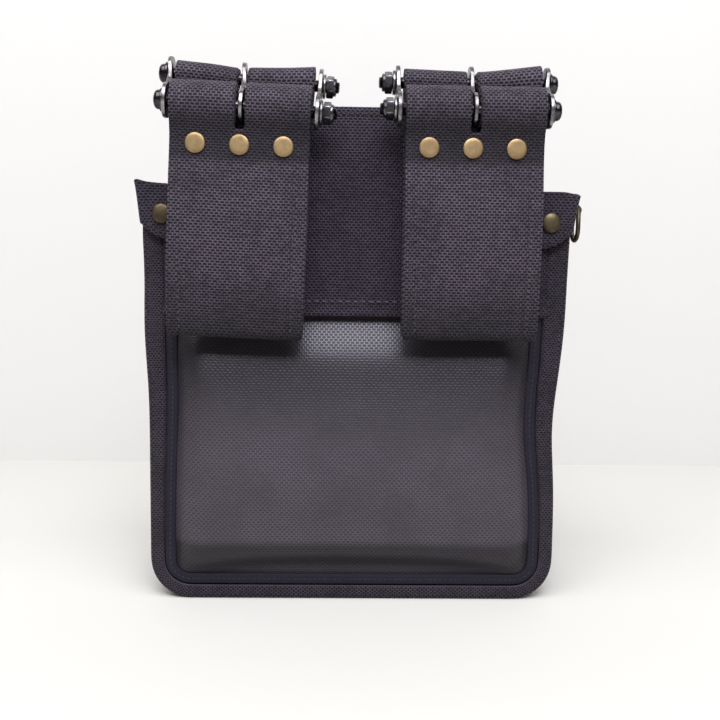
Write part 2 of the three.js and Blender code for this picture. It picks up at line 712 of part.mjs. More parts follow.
/** Webbing tab: a long leg on the ear and a fold round the ring's bar. The bar is at the origin. */
function makeRingTab() {
  const outer = RING_BORE + RING_TAB_CLOTH;
  const legFace = -outer + 1.5 * RING_TAB_CLOTH;
  const tab = new THREE.Shape();
  tab.moveTo(-outer, RING_TAB_RISE);
  tab.lineTo(-outer, 0);
  tab.absarc(0, 0, outer, Math.PI, 2 * Math.PI);
  tab.quadraticCurveTo(outer, 0.5 * RING_TAB_RISE, legFace, 0.6 * RING_TAB_RISE);
  tab.lineTo(legFace, RING_TAB_RISE);
  const bore = new THREE.Path();
  bore.absarc(0, 0, RING_BORE, 0, 2 * Math.PI);
  tab.holes.push(bore);
  return plate(tab, -RING_TAB_HALF_WIDTH, RING_TAB_HALF_WIDTH);
}

function addSideRing(pouch) {
  const holder = new THREE.Group();
  holder.position.set(ringX, RING_CENTRE_Y, RING_TOP_Z);
  addMesh(holder, 'ring_tab', makeRingTab(), MATERIALS.webbing);
  addMesh(holder, 'side_ring', makeRing(), MATERIALS.brass);
  pouch.add(holder);
}

// ---- Outer pocket and sleeves ----

function makePocketGusset() {
  const strip = plate(
    uBand(pocketPoints(0), pocketPoints(CLOTH)),
    POCKET_BACK_Y,
    POCKET_BACK_Y + POCKET_DEPTH,
  );
  const flange = plate(
    uBand(pocketPoints(-POCKET_FLANGE), pocketPoints(CLOTH)),
    POCKET_BACK_Y,
    POCKET_BACK_Y + HEM_CLOTH,
  );
  return join(strip, flange);
}

function makePocketFace() {
  const face = plate(new THREE.Shape(pocketPoints(0)), POCKET_FACE_Y, POCKET_FACE_Y + CLOTH);
  const holes = [-1, 1].map((side) => drill(side * POCKET_RIVET_X, POCKET_RIVET_Z));
  return cut(face, holes);
}

function makePocketTape() {
  const y = POCKET_FACE_Y + CLOTH + GAP;
  return plate(uBand(pocketPoints(0), pocketPoints(TAPE_WIDTH)), y, y + TAPE_THICKNESS);
}

/** Arched cloth channel sewn down along both edges, open above and below for a tool. */
function makeSleeve() {
  const bend = Math.asin(SLEEVE_CLOTH / SLEEVE_ARCH_DEPTH);
  const innerHalf = SLEEVE_ARCH_HALF - SLEEVE_CLOTH;
  const outline = new THREE.Shape();
  outline.moveTo(-SLEEVE_HALF_WIDTH, 0);
  outline.lineTo(-innerHalf, 0);
  outline.absellipse(0, 0, innerHalf, SLEEVE_ARCH_DEPTH - SLEEVE_CLOTH, Math.PI, 0, true);
  outline.lineTo(SLEEVE_HALF_WIDTH, 0);
  outline.lineTo(SLEEVE_HALF_WIDTH, SLEEVE_CLOTH);
  outline.absellipse(0, 0, SLEEVE_ARCH_HALF, SLEEVE_ARCH_DEPTH, bend, Math.PI - bend);
  outline.lineTo(-SLEEVE_HALF_WIDTH, SLEEVE_CLOTH);
  return extrude(outline, SLEEVE_TOP_Z - SLEEVE_BOTTOM_Z);
}

// ---- The pouch ----

const pouch = new THREE.Group();
addMesh(pouch, 'main_gusset', makeGusset(), MATERIALS.ballistic);
addMesh(pouch, 'back_panel', makeBackPanel(), MATERIALS.coated);
addMesh(pouch, 'front_panel', makeFrontPanel(), MATERIALS.ballistic);
addMesh(pouch, 'bottom_board', makeBoard(), MATERIALS.board);
addMesh(pouch, 'back_seam_tape', makeSeamTape(-1, BACK_TAPE_TOP_Z), MATERIALS.tape);
addMesh(pouch, 'front_seam_tape', makeSeamTape(1, FRONT_TOP_Z - HEM_DROP - GAP), MATERIALS.tape);
addMesh(pouch, 'mouth_hem', makeMouthHem(), MATERIALS.tape);
addMesh(pouch, 'back_reinforcement', makeReinforcement(), MATERIALS.ballistic);

const earGrip = -PANEL_OUTER_Y + CLOTH - EAR_OUTER_Y + 2 * GAP;
for (const side of ['left', 'right']) {
  addMesh(pouch, `${side}_ear`, makeEar(side), MATERIALS.ballistic);
  addRivet(pouch, `${side}_ear_rivet`, {
    x: EAR_RIVET_X[side],
    y: EAR_OUTER_Y - GAP,
    z: EAR_RIVET_Z[side],
    grip: earGrip,
    domed: true,
  });
  addHinge(pouch, side);
}
addSideRing(pouch);

addMesh(pouch, 'pocket_gusset', makePocketGusset(), MATERIALS.ballistic);
addMesh(pouch, 'pocket_face', makePocketFace(), MATERIALS.ballistic);
addMesh(pouch, 'pocket_tape', makePocketTape(), MATERIALS.tape);
for (const [side, x] of Object.entries(SLEEVES)) {
  const sleeve = addMesh(pouch, `${side}_tool_sleeve`, makeSleeve(), MATERIALS.webbing);
  sleeve.position.set(x, SLEEVE_Y, SLEEVE_BOTTOM_Z);
}
for (const [side, sign] of [['left', -1], ['right', 1]]) {
  const rivet = addRivet(pouch, `${side}_pocket_rivet`, {
    x: sign * POCKET_RIVET_X,
    y: POCKET_FACE_Y + CLOTH + GAP,
    z: POCKET_RIVET_Z,
    grip: CLOTH + 2 * GAP,
    domed: true,
  });
  rivet.rotation.z = Math.PI;
}

export default pouch;
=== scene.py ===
import json
import math

import bmesh
import bpy
import numpy as np
from mathutils import Matrix, Vector, noise


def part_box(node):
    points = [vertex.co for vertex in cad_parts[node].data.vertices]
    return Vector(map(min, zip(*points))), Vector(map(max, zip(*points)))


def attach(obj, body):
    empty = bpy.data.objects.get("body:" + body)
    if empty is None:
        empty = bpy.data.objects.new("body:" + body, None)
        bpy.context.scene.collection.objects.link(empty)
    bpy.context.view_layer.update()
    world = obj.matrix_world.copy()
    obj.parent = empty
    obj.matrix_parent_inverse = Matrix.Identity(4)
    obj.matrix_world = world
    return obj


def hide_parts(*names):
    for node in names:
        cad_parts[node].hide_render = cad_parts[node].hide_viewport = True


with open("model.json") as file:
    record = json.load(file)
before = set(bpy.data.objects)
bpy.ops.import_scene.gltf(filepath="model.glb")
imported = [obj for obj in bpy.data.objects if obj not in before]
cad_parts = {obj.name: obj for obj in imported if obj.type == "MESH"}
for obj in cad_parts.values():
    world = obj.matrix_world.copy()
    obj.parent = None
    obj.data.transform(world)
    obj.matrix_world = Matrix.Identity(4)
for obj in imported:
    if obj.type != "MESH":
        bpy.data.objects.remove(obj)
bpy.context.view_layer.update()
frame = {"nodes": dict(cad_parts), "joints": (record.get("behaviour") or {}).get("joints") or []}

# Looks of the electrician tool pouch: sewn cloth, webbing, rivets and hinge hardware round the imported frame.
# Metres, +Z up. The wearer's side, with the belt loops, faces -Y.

MM = 0.001
SIDES = {"left": -1, "right": 1}

# ---- Sizes, from the frame where it holds them ----

bag_low, bag_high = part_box("main_gusset")
MOUTH_Z = bag_high.z
BAG_HALF_DEPTH = bag_high.y
BASE_HALF_WIDTH = 112 * MM
MOUTH_FLARE = {-1: -bag_low.x - BASE_HALF_WIDTH, 1: bag_high.x - BASE_HALF_WIDTH}
FLARE_START_Z = 100 * MM
CORNER_RADIUS = 22 * MM
CLOTH = 2.2 * MM
SEAM_WRAP = 8 * MM
TAPE_CLOTH = 1.1 * MM
TAPE_INNER = 14.2 * MM  # from the bag's outer edge to the tape's inner edge
TAPE_OUTER = 8.6 * MM
SEAM_LEAN = {-1: 3.9 * MM, 1: 4.8 * MM}  # how much further in the back seam runs high up than at the base
BULGE = 13 * MM

patch_low, patch_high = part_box("back_reinforcement")
PATCH_Y = (patch_low.y + patch_high.y) / 2
PATCH_CLOTH = 2.1 * MM
TONGUE_HALF_WIDTH = 92 * MM
PANEL_INSET = 3.2 * MM  # from the bag's outline to its two panels' edges

hanger_low, hanger_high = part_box("right_hanger")
LOOP_HALF_WIDTH = (hanger_high.x - hanger_low.x) / 2
LOOP_WEBBING = 2.7 * MM
LOOP_ROLL = 12.4 * MM
LOOP_LENGTH = 118.5 * MM
LOOP_LEAN = {"left": math.radians(1.8), "right": math.radians(0.2)}
LOOP_FRONT_Y = -7.8 * MM
LOOP_BACK_Y = 6.8 * MM
NECK_FRONT_Y = -6.6 * MM
NECK_BACK_Y = -0.8 * MM
HANGER_WEBBING = 2.5 * MM
HANGER_ROLL = 8 * MM
HANGER_LENGTH = 45 * MM
HANGER_SLOT_SHIFT = {"left": -2.3 * MM, "right": 0.0}
REAR_REACH = 2.1 * MM  # how much further out the rear rolls' outer ends and their bolt heads stand
SLOT_HALF = 2.5 * MM
LOOP_SLOT_DEPTH = 12.8 * MM  # below the pin
HANGER_SLOT_DEPTH = 17 * MM
EDGE_STITCH = 6.5 * MM  # from a belt loop's edge to its stitches

joints = {joint["name"]: joint for joint in frame["joints"]}


# ---- Materials ----

class Shade:
    """A material being built, with short ways to add and join its nodes."""

    def __init__(self, name):
        self.material = bpy.data.materials.new(name)
        self.material.use_nodes = True
        self.tree = self.material.node_tree
        self.bsdf = self.tree.nodes["Principled BSDF"]

    def node(self, kind, **settings):
        node = self.tree.nodes.new(kind)
        for key, value in settings.items():
            setattr(node, key, value)
        return node

    def feed(self, socket, value):
        if isinstance(value, bpy.types.NodeSocket):
            self.tree.links.new(value, socket)
        else:
            socket.default_value = value

    def math(self, operation, *values, clamp=False):
        node = self.node("ShaderNodeMath", operation=operation, use_clamp=clamp)
        for socket, value in zip(node.inputs, values):
            self.feed(socket, value)
        return node.outputs[0]

    def ramp(self, value, low, high, to_low=0.0, to_high=1.0, smooth=True):
        node = self.node("ShaderNodeMapRange")
        node.interpolation_type = "SMOOTHSTEP" if smooth else "LINEAR"
        for socket, number in zip(node.inputs, (value, low, high, to_low, to_high)):
            self.feed(socket, number)
        return node.outputs[0]

    def noise(self, vector, scale, detail=2.0, roughness=0.5):
        node = self.node("ShaderNodeTexNoise")
        self.feed(node.inputs["Vector"], vector)
        self.feed(node.inputs["Scale"], scale)
        self.feed(node.inputs["Detail"], detail)
        self.feed(node.inputs["Roughness"], roughness)
        return node.outputs[0]

    def mix(self, share, first, second):
        node = self.node("ShaderNodeMix", data_type="RGBA")
        self.feed(node.inputs["Factor"], share)
        self.feed(node.inputs[6], first)
        self.feed(node.inputs[7], second)
        return node.outputs[2]

    def place(self):
        return self.node("ShaderNodeTexCoord").outputs["Object"]

    def bump(self, height, distance):
        node = self.node("ShaderNodeBump")
        self.feed(node.inputs["Height"], height)
        self.feed(node.inputs["Distance"], distance)
        return node.outputs[0]

    def set(self, **values):
        """Feeds the shader's own sockets; a name's underscores stand for spaces."""
        for key, value in values.items():
            self.feed(self.bsdf.inputs[key.replace("_", " ")], value)


def colour(red, green, blue):
    """Linear colour from screen values of 0 to 255."""
    shares = [value / 255 for value in (red, green, blue)]
    linear = [((share + 0.055) / 1.055) ** 2.4 if share > 0.04 else share / 12.92 for share in shares]
    return (*linear, 1.0)


def weave(s, pitch, row):
    """Plain weave in the cloth's own coordinates: a net of threads round short sunken gaps, set half a pitch
    apart from row to row. Returns the height and a number of its own for each gap."""
    cloth = s.node("ShaderNodeUVMap", uv_map="weave").outputs[0]
    split = s.node("ShaderNodeSeparateXYZ")
    s.feed(split.inputs[0], cloth)
    wander = s.math("SUBTRACT", s.noise(cloth, 90.0), 0.5)
    u = s.math("MULTIPLY_ADD", wander, 0.9 * MM, split.outputs[0])
    v = s.math("MULTIPLY_ADD", wander, 0.7 * MM, split.outputs[1])
    rows = s.math("DIVIDE", v, row)
    line = s.math("FLOOR", rows)
    across = s.math("FRACT", rows)
    shift = s.math("MULTIPLY", s.math("FLOORED_MODULO", line, 2.0), 0.5)
    columns = s.math("ADD", s.math("DIVIDE", u, pitch), shift)
    along = s.math("FRACT", columns)
    from_middle = s.math("ABSOLUTE", s.math("SUBTRACT", along, 0.5))
    from_line = s.math("ABSOLUTE", s.math("SUBTRACT", across, 0.5))
    gap = s.math(
        "MULTIPLY",
        s.ramp(from_middle, 0.22, 0.41, 1.0, 0.0),
        s.ramp(from_line, 0.17, 0.45, 1.0, 0.0),
    )
    crown = s.ramp(from_middle, 0.30, 0.50, 0.82, 1.0)
    own = s.node("ShaderNodeTexWhiteNoise", noise_dimensions="2D")
    pair = s.node("ShaderNodeCombineXYZ")
    s.feed(pair.inputs[0], s.math("FLOOR", columns))
    s.feed(pair.inputs[1], line)
    s.feed(own.inputs["Vector"], pair.outputs[0])
    return s.math("MULTIPLY", s.math("SUBTRACT", 1.0, gap), crown), own.outputs[0]


PAINTED_SHADE_TONE = colour(7, 5, 8)  # near-black tone of the painted shade


def make_cloth(name, pitch, row, thread, gap, roughness, relief, sheen, specular, spread=0.3):
    """Woven cloth: dark between the threads, each float a little different, worn paler here and there. Where
    a mesh's own per-point painted-shade value is 1, the colour is darkened to a near-black painted shade."""
    s = Shade(name)
    height, own = weave(s, pitch, row)
    worn = s.noise(s.place(), 38.0, detail=4.0)
    by_float = s.ramp(own, 0.0, 1.0, -spread, spread, smooth=False)
    tone = s.math("ADD", by_float, s.ramp(worn, 0.3, 0.7, -0.18, 0.18))
    share = s.math("MULTIPLY", height, s.math("ADD", 0.8, tone), clamp=True)
    # Painted shade: a per-point mesh value pulls the colour towards a near-black tone where shade falls.
    painted_shade = s.node("ShaderNodeAttribute", attribute_name="painted_shade").outputs["Fac"]
    s.set(Base_Color=s.mix(s.ramp(painted_shade, 0.0, 1.0, 0.0, 0.67), s.mix(share, gap, thread), PAINTED_SHADE_TONE))
    s.set(Roughness=s.ramp(height, 0.0, 1.0, min(1.0, roughness + 0.25), roughness))
    fibre = s.noise(s.place(), 2600.0, detail=1.0)
    grain = s.math("MULTIPLY_ADD", fibre, 0.12, height)
    s.set(Normal=s.bump(grain, relief), Sheen_Weight=sheen, Sheen_Roughness=0.45)
    s.set(Specular_IOR_Level=specular, Specular_Tint=(0.97, 0.92, 1.0, 1.0))
    return s.material


def make_thread(name, tint):
    s = Shade(name)
    twist = s.node("ShaderNodeTexWave", bands_direction="DIAGONAL")
    s.feed(twist.inputs["Vector"], s.place())
    s.feed(twist.inputs["Scale"], 900.0)
    dark = tuple(0.45 * c for c in tint[:3]) + (1.0,)
    s.set(Base_Color=s.mix(twist.outputs[1], dark, tint), Roughness=0.6)
    s.set(Normal=s.bump(twist.outputs[1], 0.08 * MM), Sheen_Weight=0.15)
    return s.material


def make_metal(name, bright, dull, roughness, spots):
    """Metal whose finish has dulled in soft patches, with fine scratches."""
    s = Shade(name)
    patch = s.noise(s.place(), spots, detail=5.0, roughness=0.6)
    s.set(Base_Color=s.mix(s.ramp(patch, 0.38, 0.66), dull, bright), Metallic=1.0)
    s.set(Roughness=s.ramp(patch, 0.3, 0.7, roughness + 0.14, roughness))
    stretch = s.node("ShaderNodeMapping")
    stretch.inputs["Scale"].default_value = (300.0, 2600.0, 900.0)
    s.feed(stretch.inputs["Vector"], s.place())
    s.set(Normal=s.bump(s.noise(stretch.outputs[0], 1.0, detail=3.0), 0.02 * MM))
    return s.material


def make_board():
    s = Shade("pressed_board")
    grain = s.noise(s.place(), 900.0, detail=4.0)
    s.set(Base_Color=s.mix(grain, colour(30, 30, 34), colour(48, 48, 53)), Roughness=0.6)
    s.set(Normal=s.bump(grain, 0.1 * MM))
    return s.material


BALLISTIC = make_cloth(
    "ballistic_weave", 2.48 * MM, 1.45 * MM, colour(56, 48, 61), colour(7, 5, 8),
    roughness=0.5, relief=0.4 * MM, sheen=0.03, specular=0.2,
)
GUSSET_CLOTH = make_cloth(
    "gusset_weave", 2.1 * MM, 1.25 * MM, colour(56, 49, 59), colour(9, 7, 11),
    roughness=0.55, relief=0.3 * MM, sheen=0.03, specular=0.2,
)
WEBBING = make_cloth(
    "webbing_weave", 2.56 * MM, 1.41 * MM, colour(72, 64, 76), colour(7, 5, 8),
    roughness=0.5, relief=0.4 * MM, sheen=0.03, specular=0.22,
)
COATED = make_cloth(
    "coated_weave", 2.56 * MM, 1.4 * MM, colour(71, 66, 73), colour(41, 37, 43),
    roughness=0.3, relief=0.08 * MM, sheen=0.0, specular=0.35, spread=0.12,
)
TAPE = make_cloth(
    "binding_weave", 0.9 * MM, 0.6 * MM, colour(32, 29, 42), colour(14, 12, 19),
    roughness=0.6, relief=0.1 * MM, sheen=0.03, specular=0.22, spread=0.1,
)
TAPE_THREAD = make_thread("tape_thread", colour(17, 15, 24))
DARK_THREAD = make_thread("dark_thread", colour(24, 21, 29))
LIGHT_THREAD = make_thread("pale_thread", colour(74, 69, 80))
BRASS = make_metal("antique_brass_finish", colour(158, 134, 98), colour(130, 109, 80), 0.42, 140.0)
DULL_BRASS = make_metal("dull_brass_finish", colour(94, 84, 65), colour(70, 61, 48), 0.42, 140.0)
STEEL = make_metal("plated_steel_finish", colour(150, 147, 149), colour(96, 92, 96), 0.24, 200.0)
NUT_STEEL = make_metal("nut_finish", colour(118, 114, 118), colour(56, 52, 56), 0.2, 200.0)
BLACK_STEEL = make_metal("blackened_steel_finish", colour(76, 72, 76), colour(38, 35, 39), 0.18, 220.0)
BOARD = make_board()


# ---- Lines and grids ----

def together(*parts):
    """Arrays and numbers stretched to one shape and joined along a new last axis."""
    return np.stack(np.broadcast_arrays(*parts), axis=-1)


def fade(distance, span):
    """How far along a span a distance is, from 0 to 1."""
    return np.clip(distance / span, 0, 1)


def arc_lengths(points):
    return np.concatenate([[0], np.cumsum(np.linalg.norm(np.diff(points, axis=0), axis=1))])


def resample(points, step):
    """The same line with points a step apart."""
    points = np.asarray(points, float)
    at = arc_lengths(points)
    count = max(2, int(round(at[-1] / step)) + 1)
    wanted = np.linspace(0, at[-1], count)
    return together(*(np.interp(wanted, at, values) for values in points.T))


def soften_line(points, passes):
    """Rounds a line's corners, keeping its ends."""
    points = np.asarray(points, float).copy()
    for _ in range(passes):
        points[1:-1] = 0.25 * points[:-2] + 0.5 * points[1:-1] + 0.25 * points[2:]
    return points


def arc_points(radius, degrees):
    """Points round a circle at angles in degrees."""
    return [(radius * math.cos(a), radius * math.sin(a)) for a in np.radians(degrees)]


def wobble(point, scale, seed):
    """Smooth noise from -1 to 1 at a point."""
    x, y, z = (value * scale for value in point)
    return noise.noise(Vector((x + seed, y - seed, z + 2 * seed)))


# ---- Meshes ----

def link(name, data):
    """New object in the scene."""
    obj = bpy.data.objects.new(name, data)
    bpy.context.scene.collection.objects.link(obj)
    return obj


def new_mesh(name, points, faces, uvs=None):
    """Object from points and faces; uvs holds one pair for each corner of each face."""
    mesh = bpy.data.meshes.new(name)
    mesh.from_pydata([tuple(p) for p in points], [], faces)
    if uvs is not None:
        layer = mesh.uv_layers.new(name="weave")
        layer.data.foreach_set("uv", np.asarray(uvs, np.float32).ravel())
    mesh.update()
    return link(name, mesh)


def tidy(obj, weld=0.0):
    """Removes loose points, faces all faces outward and shades them smooth."""
    bm = bmesh.new()
    bm.from_mesh(obj.data)
    if weld:
        bmesh.ops.remove_doubles(bm, verts=bm.verts, dist=weld)
    loose = [v for v in bm.verts if not v.link_faces]
    bmesh.ops.delete(bm, geom=loose, context="VERTS")
    bmesh.ops.recalc_face_normals(bm, faces=bm.faces)
    for face in bm.faces:
        face.smooth = True
    bm.to_mesh(obj.data)
    bm.free()


def final_mesh(obj):
    """The mesh that an object's modifiers or curve settings make."""
    graph = bpy.context.evaluated_depsgraph_get()
    return bpy.data.meshes.new_from_object(obj.evaluated_get(graph))


def apply_modifiers(obj):
    mesh = final_mesh(obj)
    obj.modifiers.clear()
    obj.data = mesh


def closed_spline(curve, points):
    """Adds a closed line through (x, y, z) points to a curve."""
    spline = curve.splines.new("POLY")
    spline.points.add(len(points) - 1)
    for point, position in zip(spline.points, points):
        point.co = (*position, 1)
    spline.use_cyclic_u = True


def from_curve(name, curve):
    """Mesh piece from a curve with a thickness."""
    blank = link(curve.name, curve)
    mesh = final_mesh(blank)
    bpy.data.objects.remove(blank)
    piece = link(name, mesh)
    tidy(piece, weld=1e-6)
    return piece


def soften(obj, degrees):
    """Smooth shading, kept sharp across edges steeper than an angle."""
    obj.data.set_sharp_from_angle(angle=math.radians(degrees))


def grid(name, points, uv, keep=None, closed=False):
    """Quads over a grid of points (rows, columns, 3). A closed grid joins its last row to its first, and its
    uv has one row more."""
    rows, columns = points.shape[:2]
    faces = []
    corners = []
    for r in range(rows if closed else rows - 1):
        below = (r + 1) % rows
        for c in range(columns - 1):
            if keep is not None and not keep[r, c]:
                continue
            faces.append((r * columns + c, r * columns + c + 1, below * columns + c + 1, below * columns + c))
            corners += [uv[r, c], uv[r, c + 1], uv[r + 1, c + 1], uv[r + 1, c]]
    obj = new_mesh(name, points.reshape(-1, 3), faces, corners)
    tidy(obj)
    return obj


def thicken(obj, thickness):
    """Gives a sheet its thickness and rounds its edges by subdivision. The cut edges show plain thread: their
    cloth coordinates lie on the line between two rows."""
    sheet_faces = len(obj.data.polygons)
    solid = obj.modifiers.new("thickness", "SOLIDIFY")
    solid.thickness = thickness
    solid.offset = 0
    apply_modifiers(obj)
    cloth_uv = obj.data.uv_layers["weave"].data
    for polygon in obj.data.polygons[2 * sheet_faces:]:
        for loop in polygon.loop_indices:
            cloth_uv[loop].uv = (cloth_uv[loop].uv[0], 0.0)
    round_off = obj.modifiers.new("rounding", "SUBSURF")
    round_off.levels = 1
    round_off.render_levels = 1
    round_off.uv_smooth = "NONE"
    apply_modifiers(obj)
    tidy(obj)
    return obj


def paint_shade_by_height(obj, stops):
    """Gives each point its painted-shade value from (height in mm, value) stops; 1 darkens the cloth as shade.
    """
    heights, values = zip(*stops)
    layer = obj.data.attributes.new("painted_shade", "FLOAT", "POINT")
    for vertex, entry in zip(obj.data.vertices, layer.data):
        entry.value = float(np.interp(vertex.co.z / MM, heights, values))


def finish_piece(obj, material, *nodes, body="pouch"):
    """Gives a piece its material and its body, and hides the CAD nodes that it replaces."""
    obj.data.materials.clear()
    obj.data.materials.append(material)
    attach(obj, body)
    if nodes:
        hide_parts(*nodes)


def cloth_piece(name, points, uv, thickness, material, node, keep=None):
    """Cloth over a grid of points, in place of its CAD node on the pouch."""
    finish_piece(thicken(grid(name, points, uv, keep), thickness), material, node)


def ring_faces(base, count, segments, closed=False):
    """Faces between rings of points that follow one another from point number base, capped unless closed."""
    faces = []
    for k in range(count if closed else count - 1):
        first, second = base + k * segments, base + (k + 1) % count * segments
        for i in range(segments):
            j = (i + 1) % segments
            faces.append((first + i, first + j, second + j, second + i))
    if not closed:
        last = base + (count - 1) * segments
        faces.append(tuple(range(base, base + segments)))
        faces.append(tuple(range(last, last + segments)))
    return faces


def turned_piece(node, levels, matrix, material, body, segments=48, closed=False):
    """A CAD node's piece, turned about X: each level is (radius or function of the angle, x)."""
    angles = [2 * math.pi * i / segments for i in range(segments)]
    points = []
    for radius, x in levels:
        for angle in angles:
            r = radius(angle) if callable(radius) else radius
            points.append((x, r * math.cos(angle), r * math.sin(angle)))
    obj = new_mesh(f"{node}_turned", points, ring_faces(0, len(levels), segments, closed))
    tidy(obj, weld=1e-6)
    obj.data.transform(matrix)
    soften(obj, 40)
    finish_piece(obj, material, node, body=body)


def hexagon(apothem, limit=1.0):
    """Radius of a hexagon at an angle, cut off by a circle."""
    def radius(angle):
        turn = (angle + math.pi / 6) % (math.pi / 3) - math.pi / 6
        return min(apothem / math.cos(turn), limit)
    return radius


STITCH_PITCH = 3.6 * MM
STITCH_HALF = 1.35 * MM
STITCH_RADIUS = 0.38 * MM


def stitches(name, lines, material, body="pouch", pitch=STITCH_PITCH, radius=STITCH_RADIUS):
    """Sewn rows. Each line is (points, outward directions). A stitch is a thread that dips into the cloth at
    both ends."""
    sides = 6
    stations = (-1.0, -0.85, -0.45, 0.0, 0.45, 0.85, 1.0)
    points, faces = [], []
    for line, outward in lines:
        line = np.asarray(line, float)
        at = arc_lengths(line)
        outward = np.broadcast_to(np.asarray(outward, float), line.shape)
        count = int(at[-1] // pitch)
        margin = (at[-1] - count * pitch) / 2
        for k in range(count):
            middle = margin + (k + 0.5) * pitch
            centre, ahead, up = (
                np.array([np.interp(d, at, values[:, axis]) for axis in range(3)])
                for d, values in ((middle, line), (middle + 0.2 * MM, line), (middle, outward))
            )
            along = ahead - centre
            along /= np.linalg.norm(along)
            up = up - along * (up @ along)
            up /= np.linalg.norm(up)
            across = np.cross(along, up)
            skew = 0.12 * across
            base = len(points)
            for t in stations:
                thick = radius * max(0.15, 1 - abs(t) ** 3)
                spine = centre + (along + skew) * (t * STITCH_HALF * pitch / STITCH_PITCH)
                spine = spine + up * radius * (0.55 - 1.5 * t * t)
                for i in range(sides):
                    angle = 2 * math.pi * i / sides
                    points.append(spine + thick * (across * math.cos(angle) + up * math.sin(angle)))
            faces += ring_faces(base, len(stations), sides)
    obj = new_mesh(name, points, faces)
    tidy(obj)
    finish_piece(obj, material, body=body)


# ---- The bag's outline ----

# Where each side stands out or draws in: height, spread and amount, in mm.
PUFFS = {-1: ((148, 26, 1.4), (204, 18, 0.6)), 1: ((152, 24, 0.9), (96, 26, -2.2))}


def half_width(z, sign):
    """From the middle to the bag's left or right side at a height."""
    z = np.asarray(z, float)
    rise = fade(z - FLARE_START_Z, MOUTH_Z - FLARE_START_Z)
    width = BASE_HALF_WIDTH + MOUTH_FLARE[sign] * rise**2 * (3 - 2 * rise)
    for middle, spread, amount in PUFFS[sign]:
        width = width + amount * MM * np.exp(-(((z - middle * MM) / (spread * MM)) ** 2))
    return width


def seam_lean(z, sign):
    """How much further in from the bag's side the back seam runs at a height than at the base."""
    return SEAM_LEAN[sign] * fade(np.asarray(z, float) - 30 * MM, 120 * MM) ** 1.5


def u_path(width_at, corner, bottom, top, step):
    """A U with round corners in X and Z, from its top left to its top right, with its inward directions."""
    angles = np.radians(np.linspace(-90, 0, 14))
    halves = {}
    for sign in (-1, 1):
        flat = width_at(bottom + corner, sign) - corner
        arc = together(flat + corner * np.cos(angles), bottom + corner + corner * np.sin(angles))
        heights = np.linspace(bottom + corner, top, 40)[1:]
        side = together(width_at(heights, sign), heights)
        halves[sign] = np.concatenate([[[0, bottom]], arc, side]) * [sign, 1]
    path = resample(np.concatenate([halves[-1][::-1][:-1], halves[1]]), step)
    ahead = np.gradient(path, axis=0)
    ahead /= np.linalg.norm(ahead, axis=1)[:, None]
    return path, together(-ahead[:, 1], ahead[:, 0])


def stand_up(flat, y):
    """(x, z) points at a depth y."""
    return together(flat[:, 0], y, flat[:, 1])


def loft_u(path, inward, section):
    """Grid of points: the section's (inset, y) pairs carried along a U path, with cloth coordinates."""
    points = np.zeros((len(path), len(section), 3))
    for c, (inset, y) in enumerate(section):
        points[:, c] = stand_up(path + inward * inset, y)
    return points, together(arc_lengths(section)[None, :], arc_lengths(path)[:, None])


def u_grid(width_at, corner, bottom, top, columns, rows, crowding):
    """X and Z over the area inside a U; rows are crowded towards its rounded bottom."""
    z = bottom + (top - bottom) * np.linspace(0, 1, rows) ** crowding
    drop = np.clip(corner - (z - bottom), 0, corner)
    a = np.linspace(-1, 1, columns)
    x = np.zeros((rows, columns))
    for sign, half in ((-1, a < 0), (1, a >= 0)):
        width = width_at(z, sign) - corner + np.sqrt(corner**2 - drop**2)
        x[:, half] = width[:, None] * a[None, half]
    return x, np.broadcast_to(z[:, None], (rows, columns))


def panel_grid(top, columns, rows):
    """X and Z over one of the bag's two panels."""
    def width_at(z, sign):
        return half_width(z, sign) - PANEL_INSET
    return u_grid(width_at, CORNER_RADIUS - PANEL_INSET, PANEL_INSET, top, columns, rows, 1.4)


def beside(x, z, measure):
    """A measure of height and side, taken on the side where x is."""
    return np.where(x < 0, measure(z, -1), measure(z, 1))


# ---- Cloth simulation ----

def even_out(values, loose, mesh, passes):
    """Averages each loose point's value with its neighbours', so that no fine pleats are left."""
    ends = np.array([edge.vertices[:] for edge in mesh.edges])
    neighbours = np.bincount(ends.ravel(), minlength=len(values))[:, None]
    for _ in range(passes):
        total = np.zeros_like(values)
        np.add.at(total, ends[:, 0], values[ends[:, 1]])
        np.add.at(total, ends[:, 1], values[ends[:, 0]])
        values = 0.5 * (values + total / neighbours) * loose[:, None]
    return values


def relax(obj, pinned, push, slack, frames, limit):
    """Lets a sheet hang between its pinned points under a push, then keeps where it came to rest. pinned
    holds a weight from 0 to 1 for each point; no point moves more than the limit."""
    scene = bpy.context.scene
    group = obj.vertex_groups.new(name="sewn")
    for index, weight in enumerate(pinned):
        if weight > 0:
            group.add([index], float(weight), "REPLACE")
    cloth = obj.modifiers.new("cloth", "CLOTH")
    settings = cloth.settings
    settings.quality = 6
    settings.mass = 0.35
    settings.tension_stiffness = 30
    settings.compression_stiffness = 12
    settings.shear_stiffness = 8
    settings.bending_stiffness = 6
    settings.vertex_group_mass = "sewn"
    settings.shrink_min = -slack
    settings.shrink_max = -slack
    settings.air_damping = 3
    gravity = tuple(scene.gravity)
    scene.gravity = push
    before = np.array([v.co for v in obj.data.vertices])
    cloth.point_cache.frame_start = 1
    cloth.point_cache.frame_end = frames
    for number in range(1, frames + 1):
        scene.frame_set(number)
    hung = obj.evaluated_get(bpy.context.evaluated_depsgraph_get())
    after = np.array([v.co for v in hung.data.vertices])
    obj.modifiers.clear()
    obj.vertex_groups.clear()
    scene.gravity = gravity
    scene.frame_set(1)
    move = even_out(after - before, pinned < 1, obj.data, passes=14)
    far = np.linalg.norm(move, axis=1)
    scale = np.minimum(1, limit / np.maximum(far, 1e-9))
    result = before + move * scale[:, None]
    obj.data.vertices.foreach_set("co", result.astype(np.float32).ravel())
    obj.data.update()


# ---- Main bag ----

